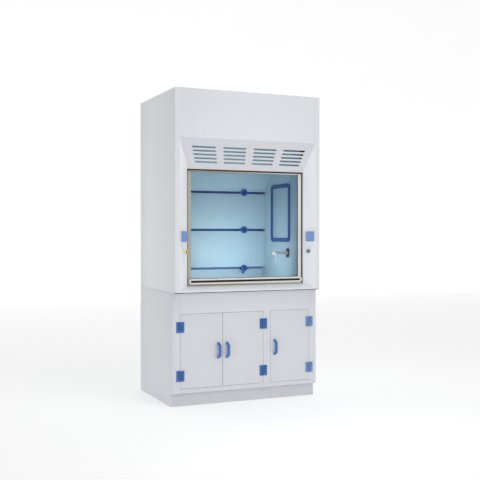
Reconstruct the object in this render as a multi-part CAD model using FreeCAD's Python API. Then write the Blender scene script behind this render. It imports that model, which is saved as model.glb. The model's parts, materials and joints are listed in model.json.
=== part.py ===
"""Bench fume hood welded from plastic sheet, with a counterbalanced vertical sash,
a baffled chamber, gas and water services and a three-door base cabinet.
Millimetres. Z is up, X runs along the width, the user stands on the -Y side,
and the origin is on the floor under the middle of the hood."""
import FreeCAD, Part
import math
import os

os.makedirs("parts", exist_ok=True)
V = FreeCAD.Vector

# ---------------------------------------------------------------- driving dimensions
hood_width = 1200.0
hood_depth = 850.0
overall_height = 2350.0
bench_height = 850.0
base_setback = 60.0
sheet = 8.0
running_gap = 0.5

worktop_thick = 12.0
worktop_overhang = 5.0
plinth_height = 100.0
plinth_setback = 40.0
stile_width = 60.0
mullion_width = 60.0
bottom_rail_height = 33.0
door_height = 555.0
door_gap = 1.5
door_rim = 15.0
door_depth = 22.0

side_strip = 35.0
post_run = 80.0
frame_recess = 60.0
sill_lip = 10.0
sill_rise = 33.0
opening_height = 860.0
vent_lip = 24.0
vent_rise = 211.0
slot_height = 13.0
slot_pitch = 27.0
slot_rows = 5
slot_first_drop = 64.0
slot_shift = 9.0
slot_spans = ((0.057, 0.41), (0.518, 0.873))

guide_width = 15.0
guide_depth = 30.0
guide_groove = 11.0
guide_groove_depth = 10.5
guide_to_post = 10.0
wall_gap = 110.0
ceiling_drop = 290.0

sash_travel = 500.0
stile_face = 26.0
sash_depth = 20.0
sash_side_gap = 2.0
sash_overlap = 18.0
sash_floor_gap = 2.0
glass_thick = 5.0
glass_bite = 6.0
runner_thick = 9.0
runner_reach = 9.5
runner_top_drop = 81.0
handle_height = 41.0
handle_depth = 28.0
handle_lift = 10.0
handle_end_gap = 13.0

pulley_pitch_radius = 40.0
pulley_flange_radius = 44.0
pulley_width = 12.0
pulley_drop = 62.0
axle_radius = 5.0
pin_clearance = 0.05
cable_radius = 1.5
cable_clearance = 0.3
cable_inset = 4.5
weight_width = 46.0
weight_depth = 54.0
weight_height = 400.0
weight_drop = 60.0
weight_boss = 10.0

baffle_gap = 83.0
baffle_slot_high = 1622.0
baffle_slot_low = 1305.0
baffle_slot = 20.0
baffle_bottom = 1000.0
baffle_foot_gap = 29.0
baffle_bend_rise = 24.0
baffle_slope_run = 340.0
baffle_slope_rise = 380.0
strip_offset = 8.0
strip_thick = 6.0
strip_lap = 8.0
lever_radius = 28.0
lever_thick = 12.0
lever_tail = 50.0
lever_tail_width = 15.0
lever_spindle_radius = 6.0
lever_from_wall = 200.0

window_width = 351.0
window_height = 478.0
window_band = 33.0
window_corner = 35.0
window_lap = 20.0
window_frame_thick = 6.0
window_cover_thick = 5.0
window_behind_front = 463.0
window_above_bench = 604.0

tap_above_bench = 276.0
tap_behind_front = 326.0
tap_plate_width = 45.0
tap_plate_height = 76.0
tap_plate_thick = 6.0
spout_radius = 14.0
spout_reach = 139.0
nozzle_radius = 5.5
nozzle_from_tip = 28.0
nozzle_length = 62.0
nozzle_tilt = 4.0

sink_length = 220.0
sink_width = 110.0
sink_depth = 120.0
sink_wall = 5.0
sink_flange = 12.0
sink_flange_thick = 4.0
drain_radius = 20.0
drain_length = 80.0
drain_wall = 3.0

socket_width = 66.0
socket_height = 76.0
socket_plate_thick = 11.0
socket_box_depth = 45.0
socket_lid_depth = 15.0
socket_lid_wall = 2.5
socket_above_bench = 410.0
socket_across = -9.0
lid_hinge_radius = 4.0
knob_above_bench = 296.0
knob_across = 4.5
knob_radius = 19.0
knob_length = 20.0
knob_flute_inset = 4.0
knob_spindle_radius = 4.0
valve_flange_radius = 23.0
valve_flange_thick = 4.0
valve_body_radius = 14.0
valve_body_length = 75.0
pipe_radius = 6.0
pipe_below_bench = 230.0
union_radius = 9.0
union_length = 25.0

duct_radius = 125.0
duct_wall = 4.0
spigot_height = 75.0
spigot_flange = 40.0
spigot_flange_thick = 6.0
duct_from_back = 225.0
lamp_length = 660.0
lamp_width = 120.0
lamp_height = 50.0
lamp_wall = 3.0
lamp_flange = 15.0
lamp_behind_front = 195.0
lens_thick = 4.0

hinge_height = 79.0
hinge_leaf_width = 31.0
hinge_leaf_thick = 4.0
hinge_barrel_radius = 5.0
hinge_pin_radius = 2.5
hinge_knuckle_gap = 0.5
hinge_from_door_end = 97.0
bow_length = 126.0
bow_width = 20.0
bow_thick = 12.0
bow_height = 40.0
bow_leg_run = 22.0
bow_centre_below_top = 283.0
bow_from_edge = 35.0
catch_width = 40.0

# ------------------------------------------------------------- places worked out from them
half_w = hood_width / 2
front = -hood_depth / 2
back = hood_depth / 2
base_front = front + base_setback
frame_back = front + frame_recess
strip_in = half_w - side_strip
opening_half = strip_in - post_run
sill_front_z = bench_height + sill_lip
opening_bottom = sill_front_z + sill_rise
opening_top = opening_bottom + opening_height
vent_bottom = opening_top + vent_lip
vent_top = vent_bottom + vent_rise
roof_under = overall_height - sheet
liner_in = half_w - wall_gap
liner_out = liner_in + sheet
side_in = half_w - sheet
guide_front = frame_back + guide_to_post
guide_back = guide_front + guide_depth
sash_mid_y = (guide_front + guide_back) / 2
guide_out = opening_half + sheet
guide_in = guide_out - guide_width
ceiling_z = overall_height - ceiling_drop
cable_x = guide_in + cable_inset
pulley_x = cable_x + pulley_pitch_radius
weight_x = pulley_x + pulley_pitch_radius
pulley_z = roof_under - pulley_drop
weight_top = pulley_z - weight_drop
baffle_y = back - sheet - baffle_gap
lever_x = liner_in - lever_from_wall
lever_levels = {
    "top": baffle_slot_high + baffle_slot / 2,
    "middle": baffle_slot_low + baffle_slot / 2,
    "bottom": baffle_bottom - 9.0,
}
tap_z = bench_height + tap_above_bench
tap_y = front + tap_behind_front
duct_y = back - duct_from_back
door_bottom = plinth_height + bottom_rail_height
door_top = door_bottom + door_height
cabinet_top = bench_height - worktop_thick
door_span = (hood_width - 2 * stile_width - mullion_width) / 3
door_edges = {
    "left": (-half_w + stile_width, -half_w + stile_width + door_span),
    "middle": (-half_w + stile_width + door_span, -half_w + stile_width + 2 * door_span),
    "right": (half_w - stile_width - door_span, half_w - stile_width),
}
hinge_sides = {"left": -1, "middle": 1, "right": 1}
hinge_axis_y = base_front - hinge_barrel_radius
hinge_levels = (door_bottom + hinge_from_door_end, door_top - hinge_from_door_end)
bow_z = door_top - bow_centre_below_top


# ------------------------------------------------------------------------ small helpers
def box(x0, x1, y0, y1, z0, z1):
    return Part.makeBox(x1 - x0, y1 - y0, z1 - z0, V(x0, y0, z0))


def rod(radius, start, end):
    return Part.makeCylinder(radius, (end - start).Length, start, end - start)


def prism(points, along):
    return Part.Face(Part.makePolygon(points + [points[0]])).extrude(along)


def prism_x(points, x0, x1):
    return prism([V(x0, y, z) for y, z in points], V(x1 - x0, 0, 0))


def prism_y(points, y0, y1):
    return prism([V(x, y0, z) for x, z in points], V(0, y1 - y0, 0))


def prism_z(points, z0, z1):
    return prism([V(x, y, z0) for x, y in points], V(0, 0, z1 - z0))


def rounded_plate(across, up, thick, corner):
    """A plate centred on the origin in the YZ plane, with round corners, from x = 0."""
    plate = box(0, thick, -across / 2, across / 2, -up / 2, up / 2)
    edges = [e for e in plate.Edges if abs(e.tangentAt(e.FirstParameter).x) > 0.99]
    return plate.makeFillet(corner, edges)


def stadium(length, height, depth):
    """A bar with round ends, long in X, centred on the origin, from y = 0."""
    radius = height / 2
    straight = length / 2 - radius
    body = box(-straight, straight, 0, depth, -radius, radius)
    for x in (-straight, straight):
        body = body.fuse(rod(radius, V(x, 0, 0), V(x, depth, 0)))
    return body.removeSplitter()


def mirrored(shape):
    return shape.mirror(V(0, 0, 0), V(1, 0, 0))


def moved(shape, x, y, z):
    copy = shape.copy()
    copy.translate(V(x, y, z))
    return copy


def save(name, *shapes):
    solids = [solid for shape in shapes for solid in shape.Solids]
    shape = solids[0] if len(solids) == 1 else Part.makeCompound(solids)
    shape.exportStep("parts/" + name + ".step")


def save_pair(name, shape):
    """Writes the right-hand shape and its left-hand mirror image."""
    save(name, shape, mirrored(shape))


# A place on the right-hand bevelled post: across is measured along the bevel towards
# the opening from its middle, out is measured off its face, and z is the height.
bevel_length = math.hypot(post_run, frame_recess)
bevel_across = V(-post_run / bevel_length, frame_recess / bevel_length, 0)
bevel_out = V(-frame_recess / bevel_length, -post_run / bevel_length, 0)
bevel_middle = V(opening_half + post_run / 2, (front + frame_back) / 2, 0)
bevel_turn = math.degrees(math.atan2(bevel_across.y, bevel_across.x))


def on_bevel(across, out, z):
    return bevel_middle + bevel_across * across + bevel_out * out + V(0, 0, z)


def bevel_box(across0, across1, out0, out1, z0, z1):
    """A block squared up to the right-hand bevel."""
    corners = [on_bevel(a, o, z0) for a, o in
               ((across0, out0), (across1, out0), (across1, out1), (across0, out1))]
    return prism(corners, V(0, 0, z1 - z0))


# --------------------------------------------------------------------------- hood shell
def make_hood_sides():
    side = box(side_in, half_w, front, back, bench_height, overall_height)
    strip = box(strip_in, half_w, front, front + sheet, bench_height, overall_height)
    save_pair("hood_sides", side.fuse(strip).removeSplitter())


def make_rear_panels():
    upper = box(-side_in, side_in, back - sheet, back, bench_height, overall_height)
    lower = box(-side_in, side_in, back - sheet, back, 0, cabinet_top)
    save("rear_panels", upper, lower)


def make_roof():
    roof = box(-side_in, side_in, front + sheet, back - sheet, roof_under, overall_height)
    hole = rod(duct_radius, V(0, duct_y, roof_under - 1), V(0, duct_y, overall_height + 1))
    save("roof_panel", roof.cut(hole))


def make_fascia():
    save("fascia_panel", box(-strip_in, strip_in, front, front + sheet, vent_top, overall_height))


def vent_half_width(z):
    """Half the width of the sloping vent panel at height z."""
    return opening_half + (z - vent_bottom) * post_run / vent_rise


def make_vent_panel():
    slope = V(0, frame_recess, -vent_rise)
    inward = V(0, vent_rise, frame_recess) * (sheet / slope.Length)
    profile = [(front, vent_top), (frame_back, vent_bottom),
               (frame_back + inward.y, vent_bottom + inward.z), (front + inward.y, vent_top + inward.z)]
    outline = [(-strip_in, vent_top), (strip_in, vent_top), (opening_half, vent_bottom),
               (-opening_half, vent_bottom)]
    panel = prism_x(profile, -strip_in, strip_in)
    panel = panel.common(prism_y(outline, front, frame_back + 2 * sheet))
    lip = box(-opening_half, opening_half, frame_back, frame_back + sheet, opening_top, vent_bottom)
    heel = prism_x([(frame_back, vent_bottom), (frame_back + sheet, vent_bottom),
                    (frame_back + inward.y, vent_bottom + inward.z)], -opening_half, opening_half)
    panel = panel.fuse([lip, heel]).removeSplitter()
    for row in range(slot_rows):
        z = vent_top - slot_first_drop - row * slot_pitch
        half = vent_half_width(z)
        for start, end in slot_spans:
            for side in (-1, 1):
                slot = stadium((end - start) * half, slot_height, frame_recess + 4 * sheet)
                middle = slot_shift + side * (start + end) / 2 * half
                panel = panel.cut(moved(slot, middle, front - sheet, z))
    save("vent_panel", panel)


def make_posts():
    low = bevel_box(-bevel_length / 2, bevel_length / 2, -sheet, 0, bench_height, vent_top)
    outline = [(strip_in, vent_top), (opening_half, vent_bottom), (opening_half, opening_bottom),
               (strip_in, sill_front_z)]
    post = low.common(prism_y(outline, front, frame_back + sheet))
    back_edge = on_bevel(bevel_length / 2, -sheet, 0)
    edge = [(opening_half, frame_back), (opening_half, guide_front), (guide_out, guide_front),
            (guide_out, back_edge.y - (guide_out - back_edge.x) * frame_recess / post_run),
            (back_edge.x, back_edge.y)]
    post = post.fuse(prism_z(edge, opening_bottom, vent_bottom)).removeSplitter()
    hole = rod(knob_spindle_radius + 2, on_bevel(knob_across, 1, knob_z()),
               on_bevel(knob_across, -sheet - 1, knob_z()))
    socket_z = bench_height + socket_above_bench
    back_box = bevel_box(socket_across - socket_width / 2 + 10, socket_across + socket_width / 2 - 10,
                         -sheet - 1, 1,
                         socket_z - socket_height / 2 + 10, socket_z + socket_height / 2 - 10)
    save_pair("posts", post.cut(hole).cut(back_box))


def knob_z():
    return bench_height + knob_above_bench


def make_sill():
    rise = math.hypot(frame_recess, sill_rise)
    step = sheet * rise / frame_recess
    nose = prism_x([(front, bench_height), (front, sill_front_z), (frame_back, opening_bottom),
                    (frame_back, bench_height)], -strip_in, strip_in)
    outline = [(-strip_in, bench_height), (-strip_in, sill_front_z), (-opening_half, opening_bottom),
               (opening_half, opening_bottom), (strip_in, sill_front_z), (strip_in, bench_height)]
    nose = nose.common(prism_y(outline, front, frame_back))
    bed = box(-opening_half, opening_half, frame_back, guide_back, bench_height, opening_bottom)
    floor = bench_height + sheet
    run = frame_recess / sill_rise
    hollow_front = front + sheet
    start_z = sill_front_z + (hollow_front - front) / run - step
    hollow = [(hollow_front + max(0.0, floor - start_z) * run, floor),
              (frame_back, opening_bottom - step), (guide_back - sheet, opening_bottom - sheet),
              (guide_back - sheet, floor)]
    inside = prism_x(hollow, -opening_half + sheet, opening_half - sheet)
    save("sill", nose.fuse(bed).removeSplitter().cut(inside))


# ------------------------------------------------------------------------------ chamber
def make_worktop():
    top = box(-half_w, half_w, base_front - worktop_overhang, back, cabinet_top, bench_height)
    hole = sink_prism(0, cabinet_top - 1, bench_height + 1)
    pipes = [rod(pipe_radius + 2, pipe_point(side, cabinet_top - 1), pipe_point(side, bench_height + 1))
             for side in (-1, 1)]
    save("worktop", top.cut([hole] + pipes))


def pipe_point(side, z):
    """The middle of the supply pipe under a valve, at height z."""
    place = on_bevel(knob_across, -valve_body_length + valve_body_radius, z)
    return V(side * place.x, place.y, z)


def sink_x():
    return liner_in - spout_reach + nozzle_from_tip


def sink_prism(grow, z0, z1):
    """An oval block for the cup sink, grown by the given margin all round."""
    oval = stadium(sink_length + 2 * grow, sink_width + 2 * grow, z1 - z0)
    oval.rotate(V(0, 0, 0), V(1, 0, 0), 90)
    oval.rotate(V(0, 0, 0), V(0, 0, 1), 90)
    return moved(oval, sink_x(), tap_y, z0)


def make_cup_sink():
    bottom = bench_height - sink_depth
    x = sink_x()
    body = sink_prism(0, bottom, bench_height)
    body = body.fuse(sink_prism(sink_flange, bench_height, bench_height + sink_flange_thick))
    tail_end = V(x, tap_y, bottom - drain_length)
    body = body.fuse(rod(drain_radius, tail_end, V(x, tap_y, bottom))).removeSplitter()
    bowl = sink_prism(-sink_wall, bottom + sink_wall, bench_height + sink_flange_thick + 1)
    drain = rod(drain_radius - drain_wall, tail_end - V(0, 0, 1), V(x, tap_y, bottom + sink_wall + 1))
    save("cup_sink", body.cut(bowl).cut(drain))


def window_place():
    return V(liner_in, front + window_behind_front, bench_height + window_above_bench)


def make_liners():
    liner = box(liner_in, liner_out, guide_back, back - sheet, bench_height, roof_under)
    cut_width = window_width - 2 * window_lap
    cut_height = window_height - 2 * window_lap
    hole = rounded_plate(cut_width, cut_height, sheet + 2, window_corner - window_lap)
    place = window_place()
    liner = liner.cut(moved(hole, place.x - 1, place.y, place.z))
    tail = rod(pipe_radius, V(liner_in - 1, tap_y, tap_z), V(liner_out + 1, tap_y, tap_z))
    save_pair("liners", liner.cut(tail))


def make_service_windows():
    place = window_place()
    ring = rounded_plate(window_width, window_height, window_frame_thick, window_corner)
    inner = rounded_plate(window_width - 2 * window_band, window_height - 2 * window_band,
                          window_frame_thick + 2, window_corner / 2)
    ring = ring.cut(moved(inner, -1, 0, 0))
    save_pair("service_frames", moved(ring, place.x - window_frame_thick, place.y, place.z))
    cover = rounded_plate(window_width - 2 * window_lap, window_height - 2 * window_lap,
                          window_cover_thick, window_corner - window_lap)
    save_pair("service_covers", moved(cover, place.x, place.y, place.z))


def make_ceiling():
    ceiling = box(-liner_in, liner_in, guide_back, back - sheet, ceiling_z, ceiling_z + sheet)
    hole = rod(duct_radius, V(0, duct_y, ceiling_z - 1), V(0, duct_y, ceiling_z + sheet + 1))
    y0 = front + lamp_behind_front
    lamp_hole = box(-lamp_length / 2, lamp_length / 2, y0, y0 + lamp_width, ceiling_z - 1,
                    ceiling_z + sheet + 1)
    pocket = box(-liner_in, liner_in, guide_back, guide_back + sheet, ceiling_z + sheet, roof_under)
    save("ceiling_panels", ceiling.cut([hole, lamp_hole]), pocket)


def make_lamp():
    y0 = front + lamp_behind_front
    half = lamp_length / 2
    top = ceiling_z + lamp_height
    shell = box(-half, half, y0, y0 + lamp_width, ceiling_z, top)
    flange = box(-half - lamp_flange, half + lamp_flange, y0 - lamp_flange, y0 + lamp_width + lamp_flange,
                 ceiling_z - lamp_wall, ceiling_z)
    inside = box(-half + lamp_wall, half - lamp_wall, y0 + lamp_wall, y0 + lamp_width - lamp_wall,
                 ceiling_z - lamp_wall - 1, top - lamp_wall)
    save("lamp_housing", shell.fuse(flange).removeSplitter().cut(inside))
    save("lamp_lens", box(-half + lamp_wall, half - lamp_wall, y0 + lamp_wall, y0 + lamp_width - lamp_wall,
                          ceiling_z - lamp_wall, ceiling_z - lamp_wall + lens_thick))


def make_baffles():
    slot_top = baffle_slot_high + baffle_slot
    bend = slot_top + baffle_bend_rise
    slope = V(0, -baffle_slope_run, baffle_slope_rise)
    lift = V(0, baffle_slope_rise, baffle_slope_run) * (sheet / slope.Length)
    profile = [(baffle_y, slot_top), (baffle_y, bend),
               (baffle_y - baffle_slope_run, bend + baffle_slope_rise),
               (baffle_y - baffle_slope_run + lift.y, bend + baffle_slope_rise + lift.z),
               (baffle_y + sheet, bend + lift.z - (sheet - lift.y) * baffle_slope_rise / baffle_slope_run),
               (baffle_y + sheet, slot_top)]
    save("baffle_top", prism_x(profile, -liner_in, liner_in))
    upper = box(-liner_in, liner_in, baffle_y, baffle_y + sheet, baffle_slot_low + baffle_slot,
                baffle_slot_high)
    lower = box(-liner_in, liner_in, baffle_y, baffle_y + sheet, baffle_bottom, baffle_slot_low)
    foot_y = back - sheet - baffle_foot_gap
    foot = box(-liner_in, liner_in, foot_y, foot_y + sheet, bench_height, baffle_bottom - baffle_slot)
    save("baffle_panels", upper, lower, foot)


def make_slot_strips():
    y0 = baffle_y + sheet + strip_offset
    y1 = y0 + strip_thick
    half = liner_in - 2 * strip_lap
    strips = []
    for slot_z, level in ((baffle_slot_high, "top"), (baffle_slot_low, "middle")):
        strip = box(-half, half, y0, y1, slot_z - strip_lap, slot_z + baffle_slot + strip_lap)
        lugs = [box(x - 10, x + 10, baffle_y + sheet, y0, slot_z - strip_lap, slot_z)
                for x in (-half + 30, -half / 3, half / 3, half - 30)]
        strips.append((strip.fuse(lugs).removeSplitter(), level))
    tab = box(lever_x - lever_radius, lever_x + lever_radius, y0, y1,
              lever_levels["bottom"] - 2 * strip_lap, baffle_bottom + 2 * strip_lap)
    block = box(lever_x - lever_radius, lever_x + lever_radius, baffle_y + sheet, y0, baffle_bottom,
                baffle_bottom + 2 * strip_lap)
    strips.append((tab.fuse(block).removeSplitter(), "bottom"))
    bored = []
    for strip, level in strips:
        z = lever_levels[level]
        bore = rod(lever_spindle_radius + pin_clearance, V(lever_x, y0 - 1, z), V(lever_x, y1 + 1, z))
        bored.append(strip.cut(bore))
    save("slot_strips", *bored)


def make_levers():
    tail_angles = {"top": 180.0, "middle": 180.0, "bottom": 255.0}
    face = baffle_y - running_gap
    for level, z in lever_levels.items():
        knob = rod(lever_radius, V(0, face - lever_thick, 0), V(0, face, 0))
        tail = stadium(2 * lever_tail, lever_tail_width, lever_thick)
        tail = tail.common(box(0, lever_tail + 1, -1, lever_thick + 1, -lever_tail, lever_tail))
        tail = moved(tail, 0, face - lever_thick, 0)
        tail.rotate(V(0, 0, 0), V(0, 1, 0), -tail_angles[level])
        far_end = baffle_y + sheet + strip_offset + strip_thick + 4
        spindle = rod(lever_spindle_radius, V(0, face - 1, 0), V(0, far_end, 0))
        lever = knob.fuse([tail, spindle]).removeSplitter()
        save("baffle_lever_" + level, moved(lever, lever_x, 0, z))


# ------------------------------------------------------------------------- exhaust route
def make_exhaust():
    duct = rod(duct_radius, V(0, duct_y, ceiling_z), V(0, duct_y, overall_height))
    bore = rod(duct_radius - duct_wall, V(0, duct_y, ceiling_z - 1), V(0, duct_y, overall_height + 1))
    save("exhaust_duct", duct.cut(bore))
    top = overall_height + spigot_height
    spigot = rod(duct_radius, V(0, duct_y, overall_height), V(0, duct_y, top))
    flange = rod(duct_radius + spigot_flange, V(0, duct_y, overall_height),
                 V(0, duct_y, overall_height + spigot_flange_thick))
    bore = rod(duct_radius - duct_wall, V(0, duct_y, overall_height - 1), V(0, duct_y, top + 1))
    save("exhaust_spigot", spigot.fuse(flange).removeSplitter().cut(bore))


# --------------------------------------------------------------------------------- sash
sash_half = guide_in - sash_side_gap
sash_bottom = opening_bottom + sash_floor_gap
sash_top = opening_top + sash_overlap
sash_front = sash_mid_y - sash_depth / 2
sash_back = sash_mid_y + sash_depth / 2
runner_top = sash_top - runner_top_drop
glass_half = sash_half - stile_face + glass_bite


def make_sash():
    frame = box(-sash_half, sash_half, sash_front, sash_back, sash_bottom, sash_top)
    window = box(-sash_half + stile_face, sash_half - stile_face, sash_front - 1, sash_back + 1,
                 sash_bottom + handle_lift + handle_height, sash_top - stile_face)
    glass_low = sash_bottom + handle_lift + handle_height - glass_bite
    glass_high = sash_top - stile_face + glass_bite
    pane = box(-glass_half, glass_half, sash_mid_y - glass_thick / 2, sash_mid_y + glass_thick / 2,
               glass_low, glass_high)
    runner = box(sash_half, sash_half + runner_reach + sash_side_gap, sash_mid_y - runner_thick / 2,
                 sash_mid_y + runner_thick / 2, sash_bottom + sheet, runner_top)
    save("sash_frame", frame.cut(window).cut(pane), runner, mirrored(runner))
    save("sash_glass", pane)
    length = 2 * (opening_half - handle_end_gap)
    bar = stadium(length, handle_height, handle_depth)
    groove = stadium(length - handle_height / 2, handle_height / 2, handle_depth / 2)
    bar = bar.cut(moved(groove, 0, -1, 0))
    z = sash_bottom + handle_lift + handle_height / 2
    save("sash_handle", moved(bar, 0, sash_front - handle_depth, z))


def make_guides():
    guide = box(guide_in, guide_out, guide_front, guide_back, opening_bottom,
                pulley_z - pulley_flange_radius - 10)
    groove = box(guide_in - 1, guide_in + guide_groove_depth, sash_mid_y - guide_groove / 2,
                 sash_mid_y + guide_groove / 2, opening_bottom - 1, overall_height)
    save_pair("sash_guides", guide.cut(groove))


def pulley_shape():
    half = pulley_width / 2
    rim = pulley_pitch_radius - cable_radius - cable_clearance
    groove_half = cable_radius + cable_clearance
    profile = [(axle_radius + pin_clearance, -half), (pulley_flange_radius, -half),
               (pulley_flange_radius, -half + 2), (rim, -groove_half), (rim, groove_half),
               (pulley_flange_radius, half - 2), (pulley_flange_radius, half),
               (axle_radius + pin_clearance, half)]
    points = [V(r, y, 0) for r, y in profile]
    wheel = Part.Face(Part.makePolygon(points + [points[0]])).revolve(V(0, 0, 0), V(0, 1, 0), 360)
    hole_ring = (axle_radius + rim) / 2
    for i in range(5):
        angle = math.radians(72 * i)
        x = hole_ring * math.cos(angle)
        z = hole_ring * math.sin(angle)
        wheel = wheel.cut(rod(hole_ring / 3, V(x, -half - 1, z), V(x, half + 1, z)))
    return wheel


def make_counterbalance():
    wheel = moved(pulley_shape(), pulley_x, sash_mid_y, pulley_z)
    save("pulley_right", wheel)
    save("pulley_left", mirrored(wheel))
    cheek = 4.0
    gap = pulley_width / 2 + running_gap + 5
    y0 = sash_mid_y - gap - cheek
    y1 = sash_mid_y + gap + cheek
    x0 = pulley_x - 2.5 * axle_radius
    x1 = pulley_x + 2.5 * axle_radius
    bracket = box(x0, x1, y0, y1, pulley_z - 2.5 * axle_radius, roof_under)
    bracket = bracket.cut(box(x0 - 1, x1 + 1, y0 + cheek, y1 - cheek, 0, roof_under - cheek))
    axle = rod(axle_radius, V(pulley_x, y0 - 4, pulley_z), V(pulley_x, y1 + 4, pulley_z))
    save_pair("pulley_brackets", Part.makeCompound([bracket.cut(axle), axle]))
    block = box(weight_x - weight_width / 2, weight_x + weight_width / 2,
                sash_mid_y - weight_depth / 2, sash_mid_y + weight_depth / 2,
                weight_top - weight_height, weight_top - weight_boss)
    boss = rod(2 * axle_radius, V(weight_x, sash_mid_y, weight_top - weight_boss),
               V(weight_x, sash_mid_y, weight_top))
    save_pair("counterweights", block.fuse(boss).removeSplitter())


def make_cables():
    save_pair("sash_cables", rod(cable_radius, V(cable_x, sash_mid_y, runner_top),
                                 V(cable_x, sash_mid_y, pulley_z)))
    save_pair("weight_cables", rod(cable_radius, V(weight_x, sash_mid_y, weight_top),
                                   V(weight_x, sash_mid_y, pulley_z)))
    ring = Part.makeTorus(pulley_pitch_radius, cable_radius, V(pulley_x, sash_mid_y, pulley_z), V(0, 1, 0))
    upper = box(0, half_w, sash_mid_y - 10, sash_mid_y + 10, pulley_z, overall_height)
    save_pair("cable_wraps", ring.common(upper))


# ----------------------------------------------------------------------------- services
def make_tap():
    plate = rounded_plate(tap_plate_width, tap_plate_height, tap_plate_thick, tap_plate_width / 2.2)
    save("tap_flange", moved(plate, liner_in - tap_plate_thick, tap_y, tap_z))
    tip = liner_in - spout_reach
    spout = rod(spout_radius, V(tip, tap_y, tap_z), V(liner_in - tap_plate_thick, tap_y, tap_z))
    top = V(tip + nozzle_from_tip, tap_y, tap_z)
    lean = math.tan(math.radians(nozzle_tilt)) * nozzle_length
    bottom = V(top.x + lean, tap_y, tap_z - spout_radius - nozzle_length)
    spout = spout.fuse(rod(nozzle_radius, top, bottom)).removeSplitter()
    bore_top = bottom + (top - bottom) * 0.5
    save("tap_spout", spout.cut(rod(nozzle_radius - 2, bottom - (top - bottom) * 0.05, bore_top)))


def make_gas_outlet():
    x = -liner_in
    plate = rod(valve_flange_radius, V(x, tap_y, tap_z), V(x + tap_plate_thick, tap_y, tap_z))
    body = rod(spout_radius, V(x, tap_y, tap_z), V(x + 45, tap_y, tap_z))
    barb = rod(nozzle_radius, V(x + 40, tap_y, tap_z), V(x + 85, tap_y, tap_z))
    outlet = plate.fuse([body, barb]).removeSplitter()
    save("gas_outlet", outlet.cut(rod(nozzle_radius - 2, V(x + 20, tap_y, tap_z), V(x + 86, tap_y, tap_z))))


def make_valves():
    z = knob_z()
    across = knob_across
    flange = rod(valve_flange_radius, on_bevel(across, 0, z), on_bevel(across, valve_flange_thick, z))
    neck = rod(knob_spindle_radius + 2, on_bevel(across, -sheet, z), on_bevel(across, 1, z))
    body = rod(valve_body_radius, on_bevel(across, -valve_body_length, z), on_bevel(across, -sheet, z))
    bore = rod(knob_spindle_radius + pin_clearance, on_bevel(across, -sheet - 25, z),
               on_bevel(across, 10, z))
    save_pair("valves", flange.fuse([neck, body]).removeSplitter().cut(bore))
    start = valve_flange_thick + running_gap
    knob = rod(knob_radius, on_bevel(across, start, z), on_bevel(across, start + knob_length, z))
    for i in range(6):
        angle = math.radians(60 * i + 30)
        reach = knob_radius + 2
        side = bevel_across * (reach * math.cos(angle)) + V(0, 0, reach * math.sin(angle))
        flute = rod(knob_radius / 3.5, on_bevel(across, start + knob_flute_inset, z) + side,
                    on_bevel(across, start + knob_length - knob_flute_inset, z) + side)
        knob = knob.cut(flute)
    spindle = rod(knob_spindle_radius, on_bevel(across, -sheet - 20, z), on_bevel(across, start + 1, z))
    knob = knob.fuse(spindle).removeSplitter()
    save("knob_water", knob)
    save("knob_gas", mirrored(knob))


def make_pipes():
    """Each valve has a supply pipe down into the cabinet and a feed back to its outlet."""
    z = knob_z()
    top = pipe_point(1, z)
    foot = V(top.x, top.y, bench_height - pipe_below_bench)
    supply = rod(pipe_radius, foot, V(top.x, top.y, z - valve_body_radius))
    supply = supply.fuse(rod(union_radius, foot, foot + V(0, 0, union_length))).removeSplitter()
    rear = on_bevel(knob_across, -valve_body_length, z)
    turn = V(rear.x, tap_y, z)
    drop = V(rear.x, tap_y, tap_z)
    feed = rod(pipe_radius, V(rear.x, rear.y + valve_body_radius, z), turn)
    feed = feed.fuse([Part.makeSphere(pipe_radius, turn), rod(pipe_radius, turn, drop),
                      Part.makeSphere(pipe_radius, drop), rod(pipe_radius, drop, V(liner_in, tap_y, tap_z))])
    save_pair("service_pipes", Part.makeCompound([supply, feed.removeSplitter()]))


def make_sockets():
    z = bench_height + socket_above_bench
    near = socket_across - socket_width / 2
    far = socket_across + socket_width / 2
    low = z - socket_height / 2
    high = z + socket_height / 2
    plate = bevel_box(near, far, 0, socket_plate_thick, low, high)
    inner = bevel_box(near + 10, far - 10, -socket_box_depth, 0, low + 10, high - 10)
    recess = rod(socket_width / 2 - 15, on_bevel(socket_across, 2, z),
                 on_bevel(socket_across, socket_plate_thick + 1, z))
    save_pair("socket_bases", plate.fuse(inner).removeSplitter().cut(recess))
    start = socket_plate_thick + running_gap
    lid = bevel_box(near, far, start, start + socket_lid_depth, low, high - 2)
    wall = socket_lid_wall
    hollow = bevel_box(near + wall, far - wall, start - 1, start + socket_lid_depth - wall,
                       low + wall, high - 2 - wall)
    barrel = rod(lid_hinge_radius, on_bevel(near, start + lid_hinge_radius, high - 2),
                 on_bevel(far, start + lid_hinge_radius, high - 2))
    lid = lid.cut(hollow).fuse(barrel).removeSplitter()
    save("socket_lid_right", lid)
    save("socket_lid_left", mirrored(lid))


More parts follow.
